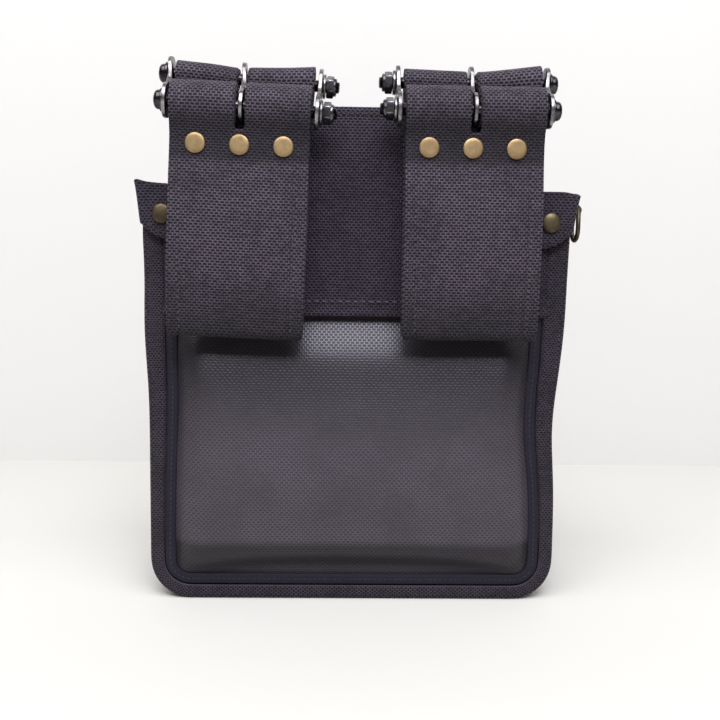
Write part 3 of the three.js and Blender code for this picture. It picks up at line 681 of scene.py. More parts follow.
EAR_FOOT_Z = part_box("left_ear")[0].z + 9 * MM  # at the bag's corners, where the ears cover the gusset
EAR_END_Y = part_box("left_ear")[1].y


def make_gusset():
    """One strip round the sides and bottom, turned onto the back and the front at the seams."""
    mid = CLOTH / 2
    turn = 2 * MM
    depth = BAG_HALF_DEPTH - mid
    arc = np.radians((75, 45, 15))
    corner = [(mid + turn * (1 - math.cos(a)), -depth + turn * (1 - math.sin(a))) for a in arc]
    shares = (1, 0.72)
    back = [*((share * SEAM_WRAP, -depth) for share in shares), *corner]
    wall = [(mid, y) for y in np.linspace(-depth + turn * 1.3, depth - turn * 1.3, 13)]
    front = [(inset, -y) for inset, y in reversed(back)]
    section = [*back, *wall, *front]
    path, inward = u_path(half_width, CORNER_RADIUS, 0.0, MOUTH_Z, 5 * MM)
    points, uv = loft_u(path, inward, section)
    side = fade(path[:, 1] - CORNER_RADIUS, 60 * MM)
    for c, (_, y) in enumerate(section):
        dip = 4.5 * MM * math.cos(math.pi * y / (2 * depth)) ** 2
        for r in range(len(path)):
            p = points[r, c]
            fold = 1 + 0.5 * wobble(p, 22, 3.0)
            p[0] += inward[r, 0] * dip * side[r] * fold
            fall = max(0.0, (p[1] + 0.2 * depth) / depth) ** 2
            p[2] -= 5 * MM * min(fall, 1.0) * fade(p[2] - 0.6 * MOUTH_Z, 0.4 * MOUTH_Z)
            covered = fade(p[2] - EAR_FOOT_Z, 5 * MM) * fade(EAR_END_Y - p[1], 6 * MM)
            p[0] += inward[r, 0] * 1.7 * MM * covered
    lean = beside(path[:, 0], path[:, 1], seam_lean)
    for c, share in enumerate(shares):
        points[:, c, ::2] += inward * lean[:, None] * share
        uv[:, c, 0] -= lean * share
    cloth_piece("gusset_cloth", points, uv, CLOTH, GUSSET_CLOTH, "main_gusset")


# How far the back panel stands out at each height in mm, as a share of the bulge.
PANEL_PROFILE = (
    (0, 0), (16, 0), (19, 0.05), (22, 0.2), (25, 0.42), (28, 0.64), (31, 0.81), (35, 0.9), (46, 0.95),
    (60, 0.98), (85, 1), (104, 0.99), (120, 0.96), (128, 0.91), (135, 0.8), (142, 0.58), (150, 0.29),
    (156, 0.06), (158, 0), (230, 0),
)

# Painted shade on the back panel at heights in mm: darkest where the bulge turns under near the base, none on
# the bulge's lower middle, rising towards the top in the straps' shadow.
PAINTED_SHADE_ON_PANEL = (
    (12, 0.6), (18, 0.7), (21, 1), (31, 1), (34, 0.5), (37, 0.1), (41, 0), (76, 0.05), (92, 0.3),
    (110, 0.55), (130, 0.85), (150, 0.6),
)


def make_back_panel():
    """Coated panel, sewn in at its edges and pushed out low down by what the bag has carried."""
    low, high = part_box("back_panel")
    x, z = panel_grid(MOUTH_Z - 1 * MM, columns=86, rows=84)
    edge = beside(x, z, half_width) - beside(x, z, seam_lean) - TAPE_INNER
    from_edge = edge - np.abs(x)
    heights, shares = zip(*PANEL_PROFILE)
    stations = np.linspace(0, MOUTH_Z, 240)
    smooth = soften_line(np.interp(stations, np.array(heights) * MM, shares), 3)
    droop = 7 * MM * np.abs(x / edge) ** 3 * fade(60 * MM - z, 40 * MM)
    rise = np.interp(z + droop, stations, smooth)
    across = np.sin(fade(from_edge, 16 * MM) * math.pi / 2) ** 0.8
    y = (low.y + high.y) / 2 - BULGE * across * rise
    panel = grid("back_panel_cloth", together(x, y, z), together(x, z))
    free = fade(from_edge, 8 * MM) * fade(z - 37 * MM, 12 * MM)
    free = free * fade(patch_low.z - 12 * MM - z, 14 * MM)
    relax(panel, (1 - free).ravel(), push=(0.0, -1.0, -2.0), slack=0.0015, frames=22, limit=3 * MM)
    thicken(panel, CLOTH)
    # Painted shade: darkens the panel under its bulge and in the straps' shadow.
    paint_shade_by_height(panel, PAINTED_SHADE_ON_PANEL)
    finish_piece(panel, COATED, "back_panel")


def make_front_panel():
    """Panel behind the pocket, drawn in a little between its edges and left to hang above the pocket."""
    low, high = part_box("front_panel")
    x, z = panel_grid(high.z, columns=70, rows=64)
    edge = beside(x, z, half_width) - TAPE_INNER
    up = fade(z - TAPE_INNER, high.z - TAPE_INNER)
    across = np.clip(1 - np.abs(x / edge) ** 3, 0, 1)
    y = (low.y + high.y) / 2 - 2.5 * MM * across * np.sin(math.pi * up)
    panel = grid("front_panel_cloth", together(x, y, z), together(x, z))
    open_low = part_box("pocket_face")[1].z + 6 * MM
    free = fade(edge - np.abs(x), 8 * MM) * fade(z - open_low, 12 * MM)
    free = free * fade(high.z - 16 * MM - z, 8 * MM)
    relax(panel, (1 - free).ravel(), push=(0.0, 0.6, -2.0), slack=0.003, frames=20, limit=2.5 * MM)
    thicken(panel, CLOTH)
    finish_piece(panel, BALLISTIC, "front_panel")


def make_seam_tape(place, side):
    """Binding tape beside the gusset's turned edge, slightly domed, with a row of stitches along it."""
    node = f"{place}_seam_tape"
    name = f"{place}_tape_cloth"
    face = side * (BAG_HALF_DEPTH - CLOTH + 0.7 * MM)
    path, inward = u_path(half_width, CORNER_RADIUS, 0.0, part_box(node)[1].z, 4 * MM)
    if side < 0:
        path = path + inward * beside(path[:, 0], path[:, 1], seam_lean)[:, None]
    middle = (TAPE_INNER + TAPE_OUTER) / 2
    half = (TAPE_INNER - TAPE_OUTER) / 2
    shares = (-1, -0.75, 0, 0.75, 1)
    section = [(middle + share * half, face + side * 0.5 * MM * (1 - share**2)) for share in shares]
    points, uv = loft_u(path, inward, section)
    cloth_piece(name, points, uv, TAPE_CLOTH, TAPE, node)
    row = stand_up(path + inward * middle, face + side * 1.05 * MM)
    stitches(f"{name}_stitches", [(row, (0, side, 0))], TAPE_THREAD, pitch=2.8 * MM, radius=0.24 * MM)


def make_patch():
    """Reinforcement band over the upper back, with the tongue that carries the hangers. Below the ears its
    ends go in under the gusset's turned edge."""
    low, high = patch_low.z, patch_high.z
    seen = 96 * MM  # the gusset's turned edge covers what reaches further out
    band_z = np.concatenate([[low, low + 1.2 * MM], np.linspace(low + 4 * MM, MOUTH_Z, 18)])
    tongue_z = np.concatenate([np.linspace(MOUTH_Z, high - 2 * MM, 13)[1:], [high]])
    heights = np.concatenate([band_z, tongue_z])
    inner = np.concatenate([[-1, -0.985], np.linspace(-0.95, 0.95, 42), [0.985, 1]]) * TONGUE_HALF_WIDTH
    outer = np.array([1, 0.96, 0.75, 0.5, 0.25])
    points = np.zeros((len(heights), len(inner) + 2 * len(outer), 3))
    for r, z in enumerate(heights):
        edges = [float(half_width(min(z, MOUTH_Z), sign)) - 1.2 * MM for sign in (-1, 1)]
        left, right = (TONGUE_HALF_WIDTH + outer * (edge - TONGUE_HALF_WIDTH) for edge in edges)
        for c, x in enumerate((*-left, *inner, *right[::-1])):
            edge = left[0] if x < 0 else right[0]
            lift = 0.5 * MM * wobble((x, 0, z), 14, 7.0)
            lip = 0.9 * MM * math.exp(-((z - low) / (3 * MM)) ** 2)
            below_ear = fade(EAR_FOOT_Z + 5 * MM - z, 5 * MM)
            tuck = 3.4 * MM * fade(abs(x) - seen - 1 * MM, 5 * MM) * below_ear
            points[r, c] = (x, PATCH_Y - lift * (abs(x) < 0.9 * edge) - lip + tuck, z)
    keep = np.ones((len(heights) - 1, points.shape[1] - 1), bool)
    keep[len(band_z) - 1:, :len(outer)] = False
    keep[len(band_z) - 1:, -len(outer):] = False
    uv = points[..., ::2]
    cloth_piece("reinforcement_cloth", points, uv, PATCH_CLOTH, BALLISTIC, "back_reinforcement", keep)
    outer_y = PATCH_Y - PATCH_CLOTH / 2 - 0.1 * MM
    away = (0, -1, 0)
    row = together(np.linspace(-seen, seen, 100), outer_y, low + 8 * MM)
    stitches("reinforcement_stitches", [(row, away)], LIGHT_THREAD, pitch=4.2 * MM, radius=0.42 * MM)
    upright = np.linspace(MOUTH_Z - 30 * MM, high - 5 * MM, 40)
    level = np.linspace(-TONGUE_HALF_WIDTH + 6 * MM, TONGUE_HALF_WIDTH - 6 * MM, 80)
    rows = [(together(level, outer_y, high - 4 * MM), away)]
    for sign in SIDES.values():
        rows.append((together(sign * (TONGUE_HALF_WIDTH - 4 * MM), outer_y, upright), away))
    stitches("tongue_stitches", rows, DARK_THREAD)


def make_ear(side, sign):
    """Tab folded round the mouth's back corner, its lower edge rounded and its top corner curling away."""
    low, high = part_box(f"{side}_ear")
    inner = min(abs(low.x), abs(high.x))
    y_back = low.y + PATCH_CLOTH / 2 + 0.1 * MM
    top, bottom = high.z, low.z
    turn = 3 * MM
    edge = float(half_width(top, sign)) + 0.3 * MM + PATCH_CLOTH / 2
    back = [(x, y_back) for x in np.linspace(inner, edge - turn, 11)]
    arc = np.radians((25, 45, 65))
    bend = [(edge - turn + turn * math.sin(a), y_back + turn * (1 - math.cos(a))) for a in arc]
    along = [(edge, y) for y in np.linspace(y_back + turn, high.y, 15)]
    plan = np.array([*back, *bend, *along])
    across = arc_lengths(plan)
    to_corner = across[len(back) + 1]
    heights = np.concatenate([[0, 0.035], np.linspace(0.1, 0.93, 9), [0.975, 1]])
    points = np.zeros((len(heights), len(plan), 3))
    for c, (x, y) in enumerate(plan):
        near = across[c] / to_corner
        lift = 8 * MM * fade(near - 0.35, 0.65) ** 1.8
        end = max(0.0, across[c] - (across[-1] - 6 * MM)) / (6 * MM)
        foot = bottom + lift + 4 * MM * end**2
        at_corner = math.exp(-((across[c] - to_corner) / (4 * MM)) ** 2)
        if sign < 0:  # the left ear's corner stands up, the right one's is pressed down
            crest = top + 1.2 * MM * at_corner - 1.4 * MM * max(0.0, 1 - near)
        else:
            crest = top - 1.8 * MM * at_corner
        for r, share in enumerate(heights):
            z = foot + (crest - foot) * share
            slope = float(half_width(z, sign)) - float(half_width(top, sign))
            outward = fade(x - inner, edge - inner)
            px = x + slope * outward
            curl = 1.3 * MM * share**4 * math.exp(-((across[c] - to_corner) / (9 * MM)) ** 2)
            py = y + 0.35 * MM * wobble((x, y, z), 60, sign * 5.0)
            snug = 2.3 * MM * (1 - share) ** 1.6 * outward**4
            points[r, c] = (sign * (px + curl - snug), py - 0.4 * curl, z)
    uv = together(across[None, :], points[..., 2])
    cloth_piece(f"{side}_ear_cloth", points, uv, PATCH_CLOTH, BALLISTIC, f"{side}_ear")
    line = [
        (points[0, c, 0] - sign * 0.5 * MM, y - PATCH_CLOTH / 2 - 0.1 * MM, points[0, c, 2] + 3.2 * MM)
        for c, (x, y) in enumerate(back) if x >= inner + 3 * MM
    ]
    stitches(f"{side}_ear_stitches", [(resample(line, 1 * MM), (0, -1, 0))], DARK_THREAD, pitch=3 * MM)


def make_mouth_hem():
    """Tape folded over the front panel's top edge."""
    low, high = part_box("mouth_hem")
    mid = (low.y + high.y) / 2
    half = (high.y - low.y) / 2 - 0.9 * MM
    crown = high.z - 0.9 * MM - half
    legs = [(mid - half, low.z), (mid - half, low.z + 1.5 * MM), (mid - half, (low.z + crown) / 2)]
    arch = [(mid - y, crown + z) for y, z in arc_points(half, range(0, 181, 30))]
    legs_back = [(2 * mid - y, z) for y, z in reversed(legs)]
    section = np.array([*legs, *arch, *legs_back])
    xs = np.linspace(low.x, high.x, 50)
    points = together(xs[None, :], section[:, 0, None], section[:, 1, None])
    uv = together(xs[None, :], arc_lengths(section)[:, None])
    cloth_piece("mouth_hem_cloth", points, uv, 1.5 * MM, TAPE, "mouth_hem")
    rows = [
        (together(xs[1:-1], mid + side * (half + 0.85 * MM), low.z + 3 * MM), (0, side, 0))
        for side in (-1, 1)
    ]
    stitches("mouth_hem_stitches", rows, DARK_THREAD)


# ---- Hinges ----

def tilt(joint_name, lean=None):
    """Matrix from a pin's own frame to the part's. A lean replaces the sag of the joint's axis."""
    joint = joints[joint_name]
    axis = joint["axis"]
    sag = math.atan2(axis[2], -axis[0]) if lean is None else lean
    return Matrix.Translation(joint["pos_m"]) @ Matrix.Rotation(sag, 4, "Y")


def strap_columns():
    """X across a strap: closer at its edges, along its stitches and beside its slot."""
    edge = LOOP_HALF_WIDTH
    stitch = edge - EDGE_STITCH
    half = [SLOT_HALF, SLOT_HALF + 1.2 * MM, *np.linspace(SLOT_HALF + 4.5 * MM, stitch - 4 * MM, 6)]
    half += [stitch - 1.3 * MM, stitch, stitch + 1.3 * MM, edge - 1.6 * MM, edge - 0.5 * MM, edge]
    return np.array([*(-x for x in reversed(half)), 0, *half])


# Painted shade on a strap at heights in mm from its pin: dark in the neck under its roll and at its bottom
# fold, where shade falls.
PAINTED_SHADE_ON_STRAP = ((-118, 0.9), (-106, 0.75), (-94, 0.4), (-82, 0), (-31, 0), (-26, 0.9), (-10, 0.9), (-2, 0))


def strap(
    name, path, thickness, slot_depth, matrix,
    closed=True, groove=0.0, seed=0.0, bend=None, outer=None, slot_shift=0.0,
):
    """Webbing strip that follows a (y, z) path across the strap's whole width, with the link plate's slot cut
    out of its roll. bend gives the roll's rise or sag for an x; outer is the side on which it reaches
    further; slot_shift moves the slot sideways."""
    path = np.asarray(path)
    nearby = np.concatenate([path[-1:], path, path[:1]]) if closed else path
    ahead = np.gradient(nearby, axis=0)
    ahead = ahead[1:-1] if closed else ahead
    ahead /= np.linalg.norm(ahead, axis=1)[:, None]
    outward = together(ahead[:, 1], -ahead[:, 0])
    xs = strap_columns()
    points = np.zeros((len(path), len(xs), 3))
    stitch = LOOP_HALF_WIDTH - EDGE_STITCH
    for c, x in enumerate(xs):
        sink = groove * math.exp(-((abs(x) - stitch) / (1.1 * MM)) ** 2)
        swell = 0.25 * MM * (abs(x) > stitch)
        for r, (y, z) in enumerate(path):
            free = fade(-z - 14 * MM, 20 * MM)
            push = 0.45 * MM * wobble((x, y, z), 26, seed) * free - sink * free + swell * free
            low = fade(-z - LOOP_LENGTH + 7 * MM, 6 * MM)
            tuck = 1 - 0.045 * low**2 * abs(x / LOOP_HALF_WIDTH) ** 6
            sway = 0.35 * MM * wobble((0, 0, z), 30, seed) * free
            points[r, c] = (x * tuck + sway, y + outward[r, 0] * push, z + outward[r, 1] * push)
            if bend is not None:
                points[r, c, 2] += bend(x) * fade(z + 6 * MM, 8 * MM)
            points[r, c, 0] += slot_shift * math.exp(-((x / (5 * MM)) ** 2))
            if outer is not None:
                points[r, c, 0] += outer * REAR_REACH * np.clip(0.3 + 0.7 * outer * x / LOOP_HALF_WIDTH, 0, 1)
    keep = np.ones((len(path) if closed else len(path) - 1, len(xs) - 1), bool)
    in_slot = np.abs((xs[1:] + xs[:-1]) / 2) < SLOT_HALF
    for r in range(keep.shape[0]):
        z = (path[r, 1] + path[(r + 1) % len(path), 1]) / 2
        if z > -slot_depth:
            keep[r, in_slot] = False
    along = arc_lengths(np.concatenate([path, path[:1]]) if closed else path)
    uv = together(xs[None, :], along[:, None])
    piece = thicken(grid(name, points, uv, keep, closed), thickness)
    # Painted shade in the neck under the roll and at the bottom fold.
    paint_shade_by_height(piece, PAINTED_SHADE_ON_STRAP)
    piece.data.transform(matrix)
    return piece, outward


def belt_loop_path():
    """Closed line through the middle of a belt loop's webbing, about the front pin, front side first."""
    half = LOOP_WEBBING / 2
    roll = LOOP_ROLL - half
    over = arc_points(roll, np.linspace(-35, 215, 30))
    front, back = LOOP_FRONT_Y + half, LOOP_BACK_Y - half
    neck_front, neck_back = NECK_FRONT_Y + half, NECK_BACK_Y - half
    fold = 4.2 * MM
    middle = (front + back) / 2 + 1.5 * MM
    fold_z = -LOOP_LENGTH + half + fold
    turn = [(middle + y, fold_z + z) for y, z in arc_points(fold, np.linspace(190, 350, 10))]
    line = [
        *over,
        (neck_front, -14.5 * MM),
        (neck_front, -26.5 * MM),
        (front + 0.2 * MM, -37 * MM),
        (front - 0.7 * MM, -52 * MM),
        (front - 0.7 * MM, -66 * MM),
        (front - 0.1 * MM, -80 * MM),
        (front + 1.1 * MM, -93 * MM),
        (front + 2.7 * MM, -106 * MM),
        *turn,
        (back - 0.3 * MM, -98 * MM),
        (back, -40 * MM),
        (neck_back, -27 * MM),
        (neck_back, -16 * MM),
        over[0],
    ]
    return soften_line(resample(line, 2.6 * MM), 3)[:-1]


def hanger_path():
    """Line through the middle of a hanger's webbing, about the rear pin, from back leg to front leg."""
    half = HANGER_WEBBING / 2
    roll = HANGER_ROLL - half
    leg = PATCH_CLOTH / 2 + 0.4 * MM + half
    over = arc_points(roll, np.linspace(-38, 218, 24))
    line = [(leg, -HANGER_LENGTH), (leg, -11 * MM), *over, (-leg, -11 * MM), (-leg, -HANGER_LENGTH)]
    return soften_line(resample(line, 2.6 * MM), 2)


def ring_path(radius):
    return arc_points(radius, np.arange(0, 360, 15))


def make_belt_loop(side):
    """Webbing loop, the two inner turns of its roll and the stitches down its front."""
    body = f"{side}_loop"
    matrix = tilt(f"{side}_loop_swing", LOOP_LEAN[side])
    path = belt_loop_path()
    webbing, outward = strap(
        f"{side}_belt_loop_webbing", path, LOOP_WEBBING, LOOP_SLOT_DEPTH, matrix,
        groove=0.8 * MM, seed=SIDES[side] * 4.0,
    )
    finish_piece(webbing, WEBBING, f"{side}_belt_loop", body=body)
    for turn_number in (1, 2):
        radius = LOOP_ROLL - turn_number * (LOOP_WEBBING + 0.1 * MM) - LOOP_WEBBING / 2
        liner_name = f"{side}_loop_liner_{turn_number}"
        liner, _ = strap(liner_name, ring_path(radius), 2.5 * MM, LOOP_SLOT_DEPTH, matrix)
        finish_piece(liner, WEBBING, body=body)
    front = [i for i, (y, z) in enumerate(path) if y < -1 * MM and z < -29 * MM]
    rows = []
    for sign in (-1, 1):
        x = sign * (LOOP_HALF_WIDTH - EDGE_STITCH)
        line, up = [], []
        for i in front:
            y, z = path[i] + outward[i] * (LOOP_WEBBING / 2 - 0.6 * MM)
            line.append(matrix @ Vector((x, y, z)))
            up.append(matrix.to_3x3() @ Vector((0, *outward[i])))
        rows.append((line, up))
    stitches(f"{side}_loop_stitches", rows, DARK_THREAD, body)


def bend_line(*stops):
    """Rise along a hanger's roll, from (share of its half width, mm) stops."""
    at, rise = zip(*stops)
    return lambda x: float(np.interp(x / LOOP_HALF_WIDTH, at, rise)) * MM


HANGER_BEND = {
    "left": bend_line((-1, 0), (-0.5, -0.5), (-0.1, -1.5), (0.15, -0.5), (0.6, 0.8), (1, 2.4)),
    "right": bend_line((-1, 0), (-0.1, -1), (0.15, -1.1), (0.5, 0.3), (1, 2.6)),
}


def make_hanger(side):
    """Webbing that hangs the bag on its rear pin, and the inner turn of its roll."""
    matrix = tilt(f"{side}_link_swing")
    shift = HANGER_SLOT_SHIFT[side]
    webbing, _ = strap(
        f"{side}_hanger_webbing", hanger_path(), HANGER_WEBBING, HANGER_SLOT_DEPTH, matrix, closed=False,
        seed=SIDES[side] * 9.0, bend=HANGER_BEND[side], outer=SIDES[side], slot_shift=shift,
    )
    finish_piece(webbing, WEBBING, f"{side}_hanger")
    inner = ring_path(HANGER_ROLL - HANGER_WEBBING - 0.8 * MM)
    liner, _ = strap(f"{side}_hanger_liner", inner, 1.2 * MM, HANGER_SLOT_DEPTH, matrix, slot_shift=shift)
    finish_piece(liner, WEBBING)


def node_centre(node):
    low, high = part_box(node)
    return (low + high) / 2


PIN_RADIUS = 3 * MM
WASHER_RADIUS = 6.25 * MM
PLATE_OUTER_X = LOOP_HALF_WIDTH + 4.1 * MM  # of the two plates at a hinge's ends, from its middle
NUT_START = PLATE_OUTER_X + 2 * MM
NUT_FINISH = NUT_START + 5.3 * MM


def make_bolt(node, matrix, body, seat):
    """Bolt with a socket in its button head, which sits at seat, and thread beyond its nut."""
    flange, head, radius = 1.3 * MM, 3.6 * MM, 4.9 * MM
    shoulder = seat - flange
    crown = shoulder - head
    socket = hexagon(2 * MM)
    dome = [
        (radius * math.sin(a) ** 0.7, shoulder - 0.5 * MM - (head - 0.5 * MM) * math.cos(a) ** 0.7)
        for a in np.radians((24, 38, 52, 65, 78, 90))
    ]
    thread = [(PIN_RADIUS - 0.3 * MM * (k % 2), NUT_FINISH + (k - 1) * 0.4 * MM) for k in range(5)]
    tip = NUT_FINISH + 1.6 * MM
    levels = [
        (0.0001 * MM, crown + 2.2 * MM),
        (socket, crown + 2.1 * MM),
        (socket, crown + 0.5 * MM),
        (2.5 * MM, crown + 0.25 * MM),
        *dome,
        (radius, shoulder),
        (5.7 * MM, shoulder),
        (5.9 * MM, seat - flange * 0.7),
        (5.9 * MM, seat - 0.1 * MM),
        (5.8 * MM, seat),
        (PIN_RADIUS, seat),
        *thread,
        (PIN_RADIUS - 0.3 * MM, tip - 0.3 * MM),
        (PIN_RADIUS - 0.8 * MM, tip),
    ]
    turned_piece(node, levels, matrix, BLACK_STEEL, body)


def make_washer(node, matrix, body):
    start = PLATE_OUTER_X + 0.3 * MM
    levels = [
        (PIN_RADIUS + 0.2 * MM, start),
        (WASHER_RADIUS - 0.2 * MM, start),
        (WASHER_RADIUS, start + 0.25 * MM),
        (WASHER_RADIUS, start + 1.1 * MM),
        (WASHER_RADIUS - 0.2 * MM, start + 1.35 * MM),
        (PIN_RADIUS + 0.2 * MM, start + 1.35 * MM),
    ]
    turned_piece(node, levels, matrix, STEEL, body, closed=True)


def make_nut(node, matrix, body):
    """Locking nut: a chamfered hexagon with a round collar."""
    flat, chamfer = 5 * MM, 5.35 * MM
    collar = NUT_FINISH - 1.5 * MM
    levels = [
        (PIN_RADIUS + 0.1 * MM, NUT_START),
        (4.7 * MM, NUT_START),
        (hexagon(flat, chamfer), NUT_START + 0.05 * MM),
        (hexagon(flat), NUT_START + 0.5 * MM),
        (hexagon(flat), collar - 0.5 * MM),
        (hexagon(flat, chamfer), collar),
        (4.6 * MM, collar + 0.05 * MM),
        (4.5 * MM, NUT_FINISH - 0.4 * MM),
        (4.1 * MM, NUT_FINISH),
        (PIN_RADIUS + 0.2 * MM, NUT_FINISH),
    ]
    turned_piece(node, levels, matrix, NUT_STEEL, body, segments=72, closed=True)


def make_pin(side, which, joint_name):
    """A bolt, its washer and its nut, which is at the end where CAD has it."""
    bolt, nut, washer = (f"{side}_{which}_{part}" for part in ("bolt", "nut", "washer"))
    matrix = tilt(joint_name)
    if node_centre(nut).x < joints[joint_name]["pos_m"][0]:
        matrix = matrix @ Matrix.Rotation(math.pi, 4, "Z")
    seat = -PLATE_OUTER_X - 0.3 * MM - (REAR_REACH if which == "rear" else 0)
    body = f"{side}_link"
    make_bolt(bolt, matrix, body, seat)
    make_washer(washer, matrix, body)
    make_nut(nut, matrix, body)


# How far each plate's rear eye leans outward, in mm.
PLATE_LEAN = {
    "left": {"outer": 2.1, "middle": 2.0, "inner": 0.0},
    "right": {"outer": 2.1, "middle": 0.2, "inner": 0.0},
}


def plate_outline(reach, eye, waist):
    """Figure-of-eight outline: an eye round each end of the reach and a waist between them."""
    eye_end = math.degrees(0.95)
    left = arc_points(eye, np.linspace(180, eye_end, 20))
    edge_x, edge_y = left[-1]
    for t in np.linspace(0, 1, 8)[1:]:
        left.append((edge_x + (reach / 2 - edge_x) * t, waist + (edge_y - waist) * (1 - t) ** 2))
    upper = [*left, *((reach - x, y) for x, y in reversed(left[:-1]))]
    return [*upper, *((x, -y) for x, y in reversed(upper[1:-1]))]


def make_link_plate(side, place):
    """Figure-of-eight plate with rounded edges and two pin holes."""
    node = f"{side}_{place}_link_plate"
    pin_frame = tilt(f"{side}_link_swing")
    to_front = pin_frame.inverted() @ Vector(joints[f"{side}_loop_swing"]["pos_m"])
    reach = math.hypot(to_front.y, to_front.z)
    slope = math.atan2(to_front.z, to_front.y)
    rim, thickness = 0.35 * MM, 2 * MM
    curve = bpy.data.curves.new(node, "CURVE")
    curve.dimensions = "2D"
    curve.fill_mode = "BOTH"
    curve.extrude = thickness / 2 - rim
    curve.bevel_depth = rim
    curve.bevel_resolution = 2
    hole = arc_points(PIN_RADIUS + 0.25 * MM + rim, np.arange(28) * 360 / 28)
    lines = [plate_outline(reach, 8.8 * MM - rim, 4.4 * MM - rim), hole, [(reach + x, y) for x, y in hole]]
    for line in lines:
        closed_spline(curve, [(x, y, 0) for x, y in line])
    plate = from_curve(f"{node}_steel", curve)
    middle_x = (pin_frame.inverted() @ node_centre(node)).x
    lean = PLATE_LEAN[side][place] * SIDES[side] * MM
    for vertex in plate.data.vertices:
        share = min(max((0.62 * reach - vertex.co.x) / (0.7 * reach), 0.0), 1.0)
        vertex.co.z += lean * share**2 * (3 - 2 * share)
    stand = Matrix(((0, 0, 1, 0), (1, 0, 0, 0), (0, 1, 0, 0), (0, 0, 0, 1)))
    turn = Matrix.Translation((middle_x, 0, 0)) @ Matrix.Rotation(slope, 4, "X") @ stand
    plate.data.transform(pin_frame @ turn)
    soften(plate, 50)
    finish_piece(plate, STEEL, node, body=f"{side}_link")


# ---- Rivets ----

RIVET_RADIUS = 5.2 * MM


def make_rivet(node, facing, domed=False, body="pouch"):
    """Tubular rivet: a flat or domed head towards one side in Y, and a rolled cap on the other."""
    low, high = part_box(node)
    length = high.y - low.y
    matrix = Matrix.Translation(node_centre(node)) @ Matrix.Rotation(facing * math.pi / 2, 4, "Z")
    rise = 1.6 * MM if domed else 1.0 * MM
    back = -length / 2
    seat = length / 2 - rise
    if domed:
        head = [
            (RIVET_RADIUS * math.sin(a), seat + 0.25 * MM + (rise - 0.25 * MM) * math.cos(a))
            for a in np.radians((88, 78, 66, 52, 38, 24, 10))
        ]
    else:
        head = [
            (RIVET_RADIUS - 0.05 * MM, seat + 0.5 * MM),
            (RIVET_RADIUS - 0.3 * MM, seat + 0.82 * MM),
            (RIVET_RADIUS - 0.8 * MM, seat + 0.97 * MM),
            (RIVET_RADIUS * 0.6, seat + rise),
        ]
    levels = [
        (1.2 * MM, back),
        (3.4 * MM, back),
        (4 * MM, back + 0.25 * MM),
        (4.2 * MM, back + 0.9 * MM),
        (2 * MM, back + 0.9 * MM),
        (2 * MM, seat),
        (RIVET_RADIUS - 0.3 * MM, seat - 0.1 * MM),
        (RIVET_RADIUS, seat + 0.15 * MM),
        *head,
    ]
    turned_piece(node, levels, matrix, DULL_BRASS if domed else BRASS, body)


def make_rivets():
    for side in SIDES:
        make_rivet(f"{side}_ear_rivet", -1, domed=True)
        make_rivet(f"{side}_pocket_rivet", 1, domed=True)
        for number in (1, 2):
            make_rivet(f"{side}_hanger_rivet_{number}", -1)
        for number in (1, 2, 3):
            make_rivet(f"{side}_loop_rivet_{number}", -1, body=f"{side}_loop")


# ---- Side ring ----

ring_low, ring_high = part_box("side_ring")
RING_WIRE = (ring_high.x - ring_low.x) / 2
RING_PIVOT = Vector(joints["ring_swing"]["pos_m"])


def make_side_ring():
    """Wire ring, straight on top where it lies in its tab and round below."""
    half = (ring_high.y - ring_low.y) / 2 - RING_WIRE
    straight = 10 * MM
    arc = arc_points(half, np.linspace(195, 345, 11))
    line = [(0, -half, 0), (0, -half, -straight), *((0, y, z - straight) for y, z in arc)]
    line += [(0, half, -straight), (0, half, 0)]
    curve = bpy.data.curves.new("ring_wire", "CURVE")
    curve.dimensions = "3D"
    curve.bevel_depth = RING_WIRE
    curve.bevel_resolution = 4
    closed_spline(curve, line)
    ring = from_curve("side_ring_wire", curve)
    ring.data.transform(Matrix.Translation(RING_PIVOT))
    finish_piece(ring, DULL_BRASS, "side_ring", body="ring")


def make_ring_tab():
    """Webbing folded round the ring's straight side."""
    low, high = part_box("ring_tab")
    cloth = 1.4 * MM
    around = RING_WIRE + 0.25 * MM + cloth / 2
    leg = -around
    rise = high.z - RING_PIVOT.z
    path = [(leg, rise), (leg, rise * 0.5), (leg, 1 * MM), *arc_points(around, np.linspace(180, 380, 12))]
    path += [(leg + cloth * 1.15, 0.42 * rise), (leg + cloth * 1.1, 0.7 * rise), (leg + cloth * 1.1, rise)]
    path = soften_line(resample(path, 1.1 * MM), 1)
    ys = np.linspace(low.y, high.y, 7)
    points = together(path[:, 0, None] + RING_PIVOT.x, ys[None, :], path[:, 1, None] + RING_PIVOT.z)
    uv = together(ys[None, :], arc_lengths(path)[:, None])
    cloth_piece("ring_tab_webbing", points, uv, cloth, WEBBING, "ring_tab")


# ---- Front pocket and sleeves ----

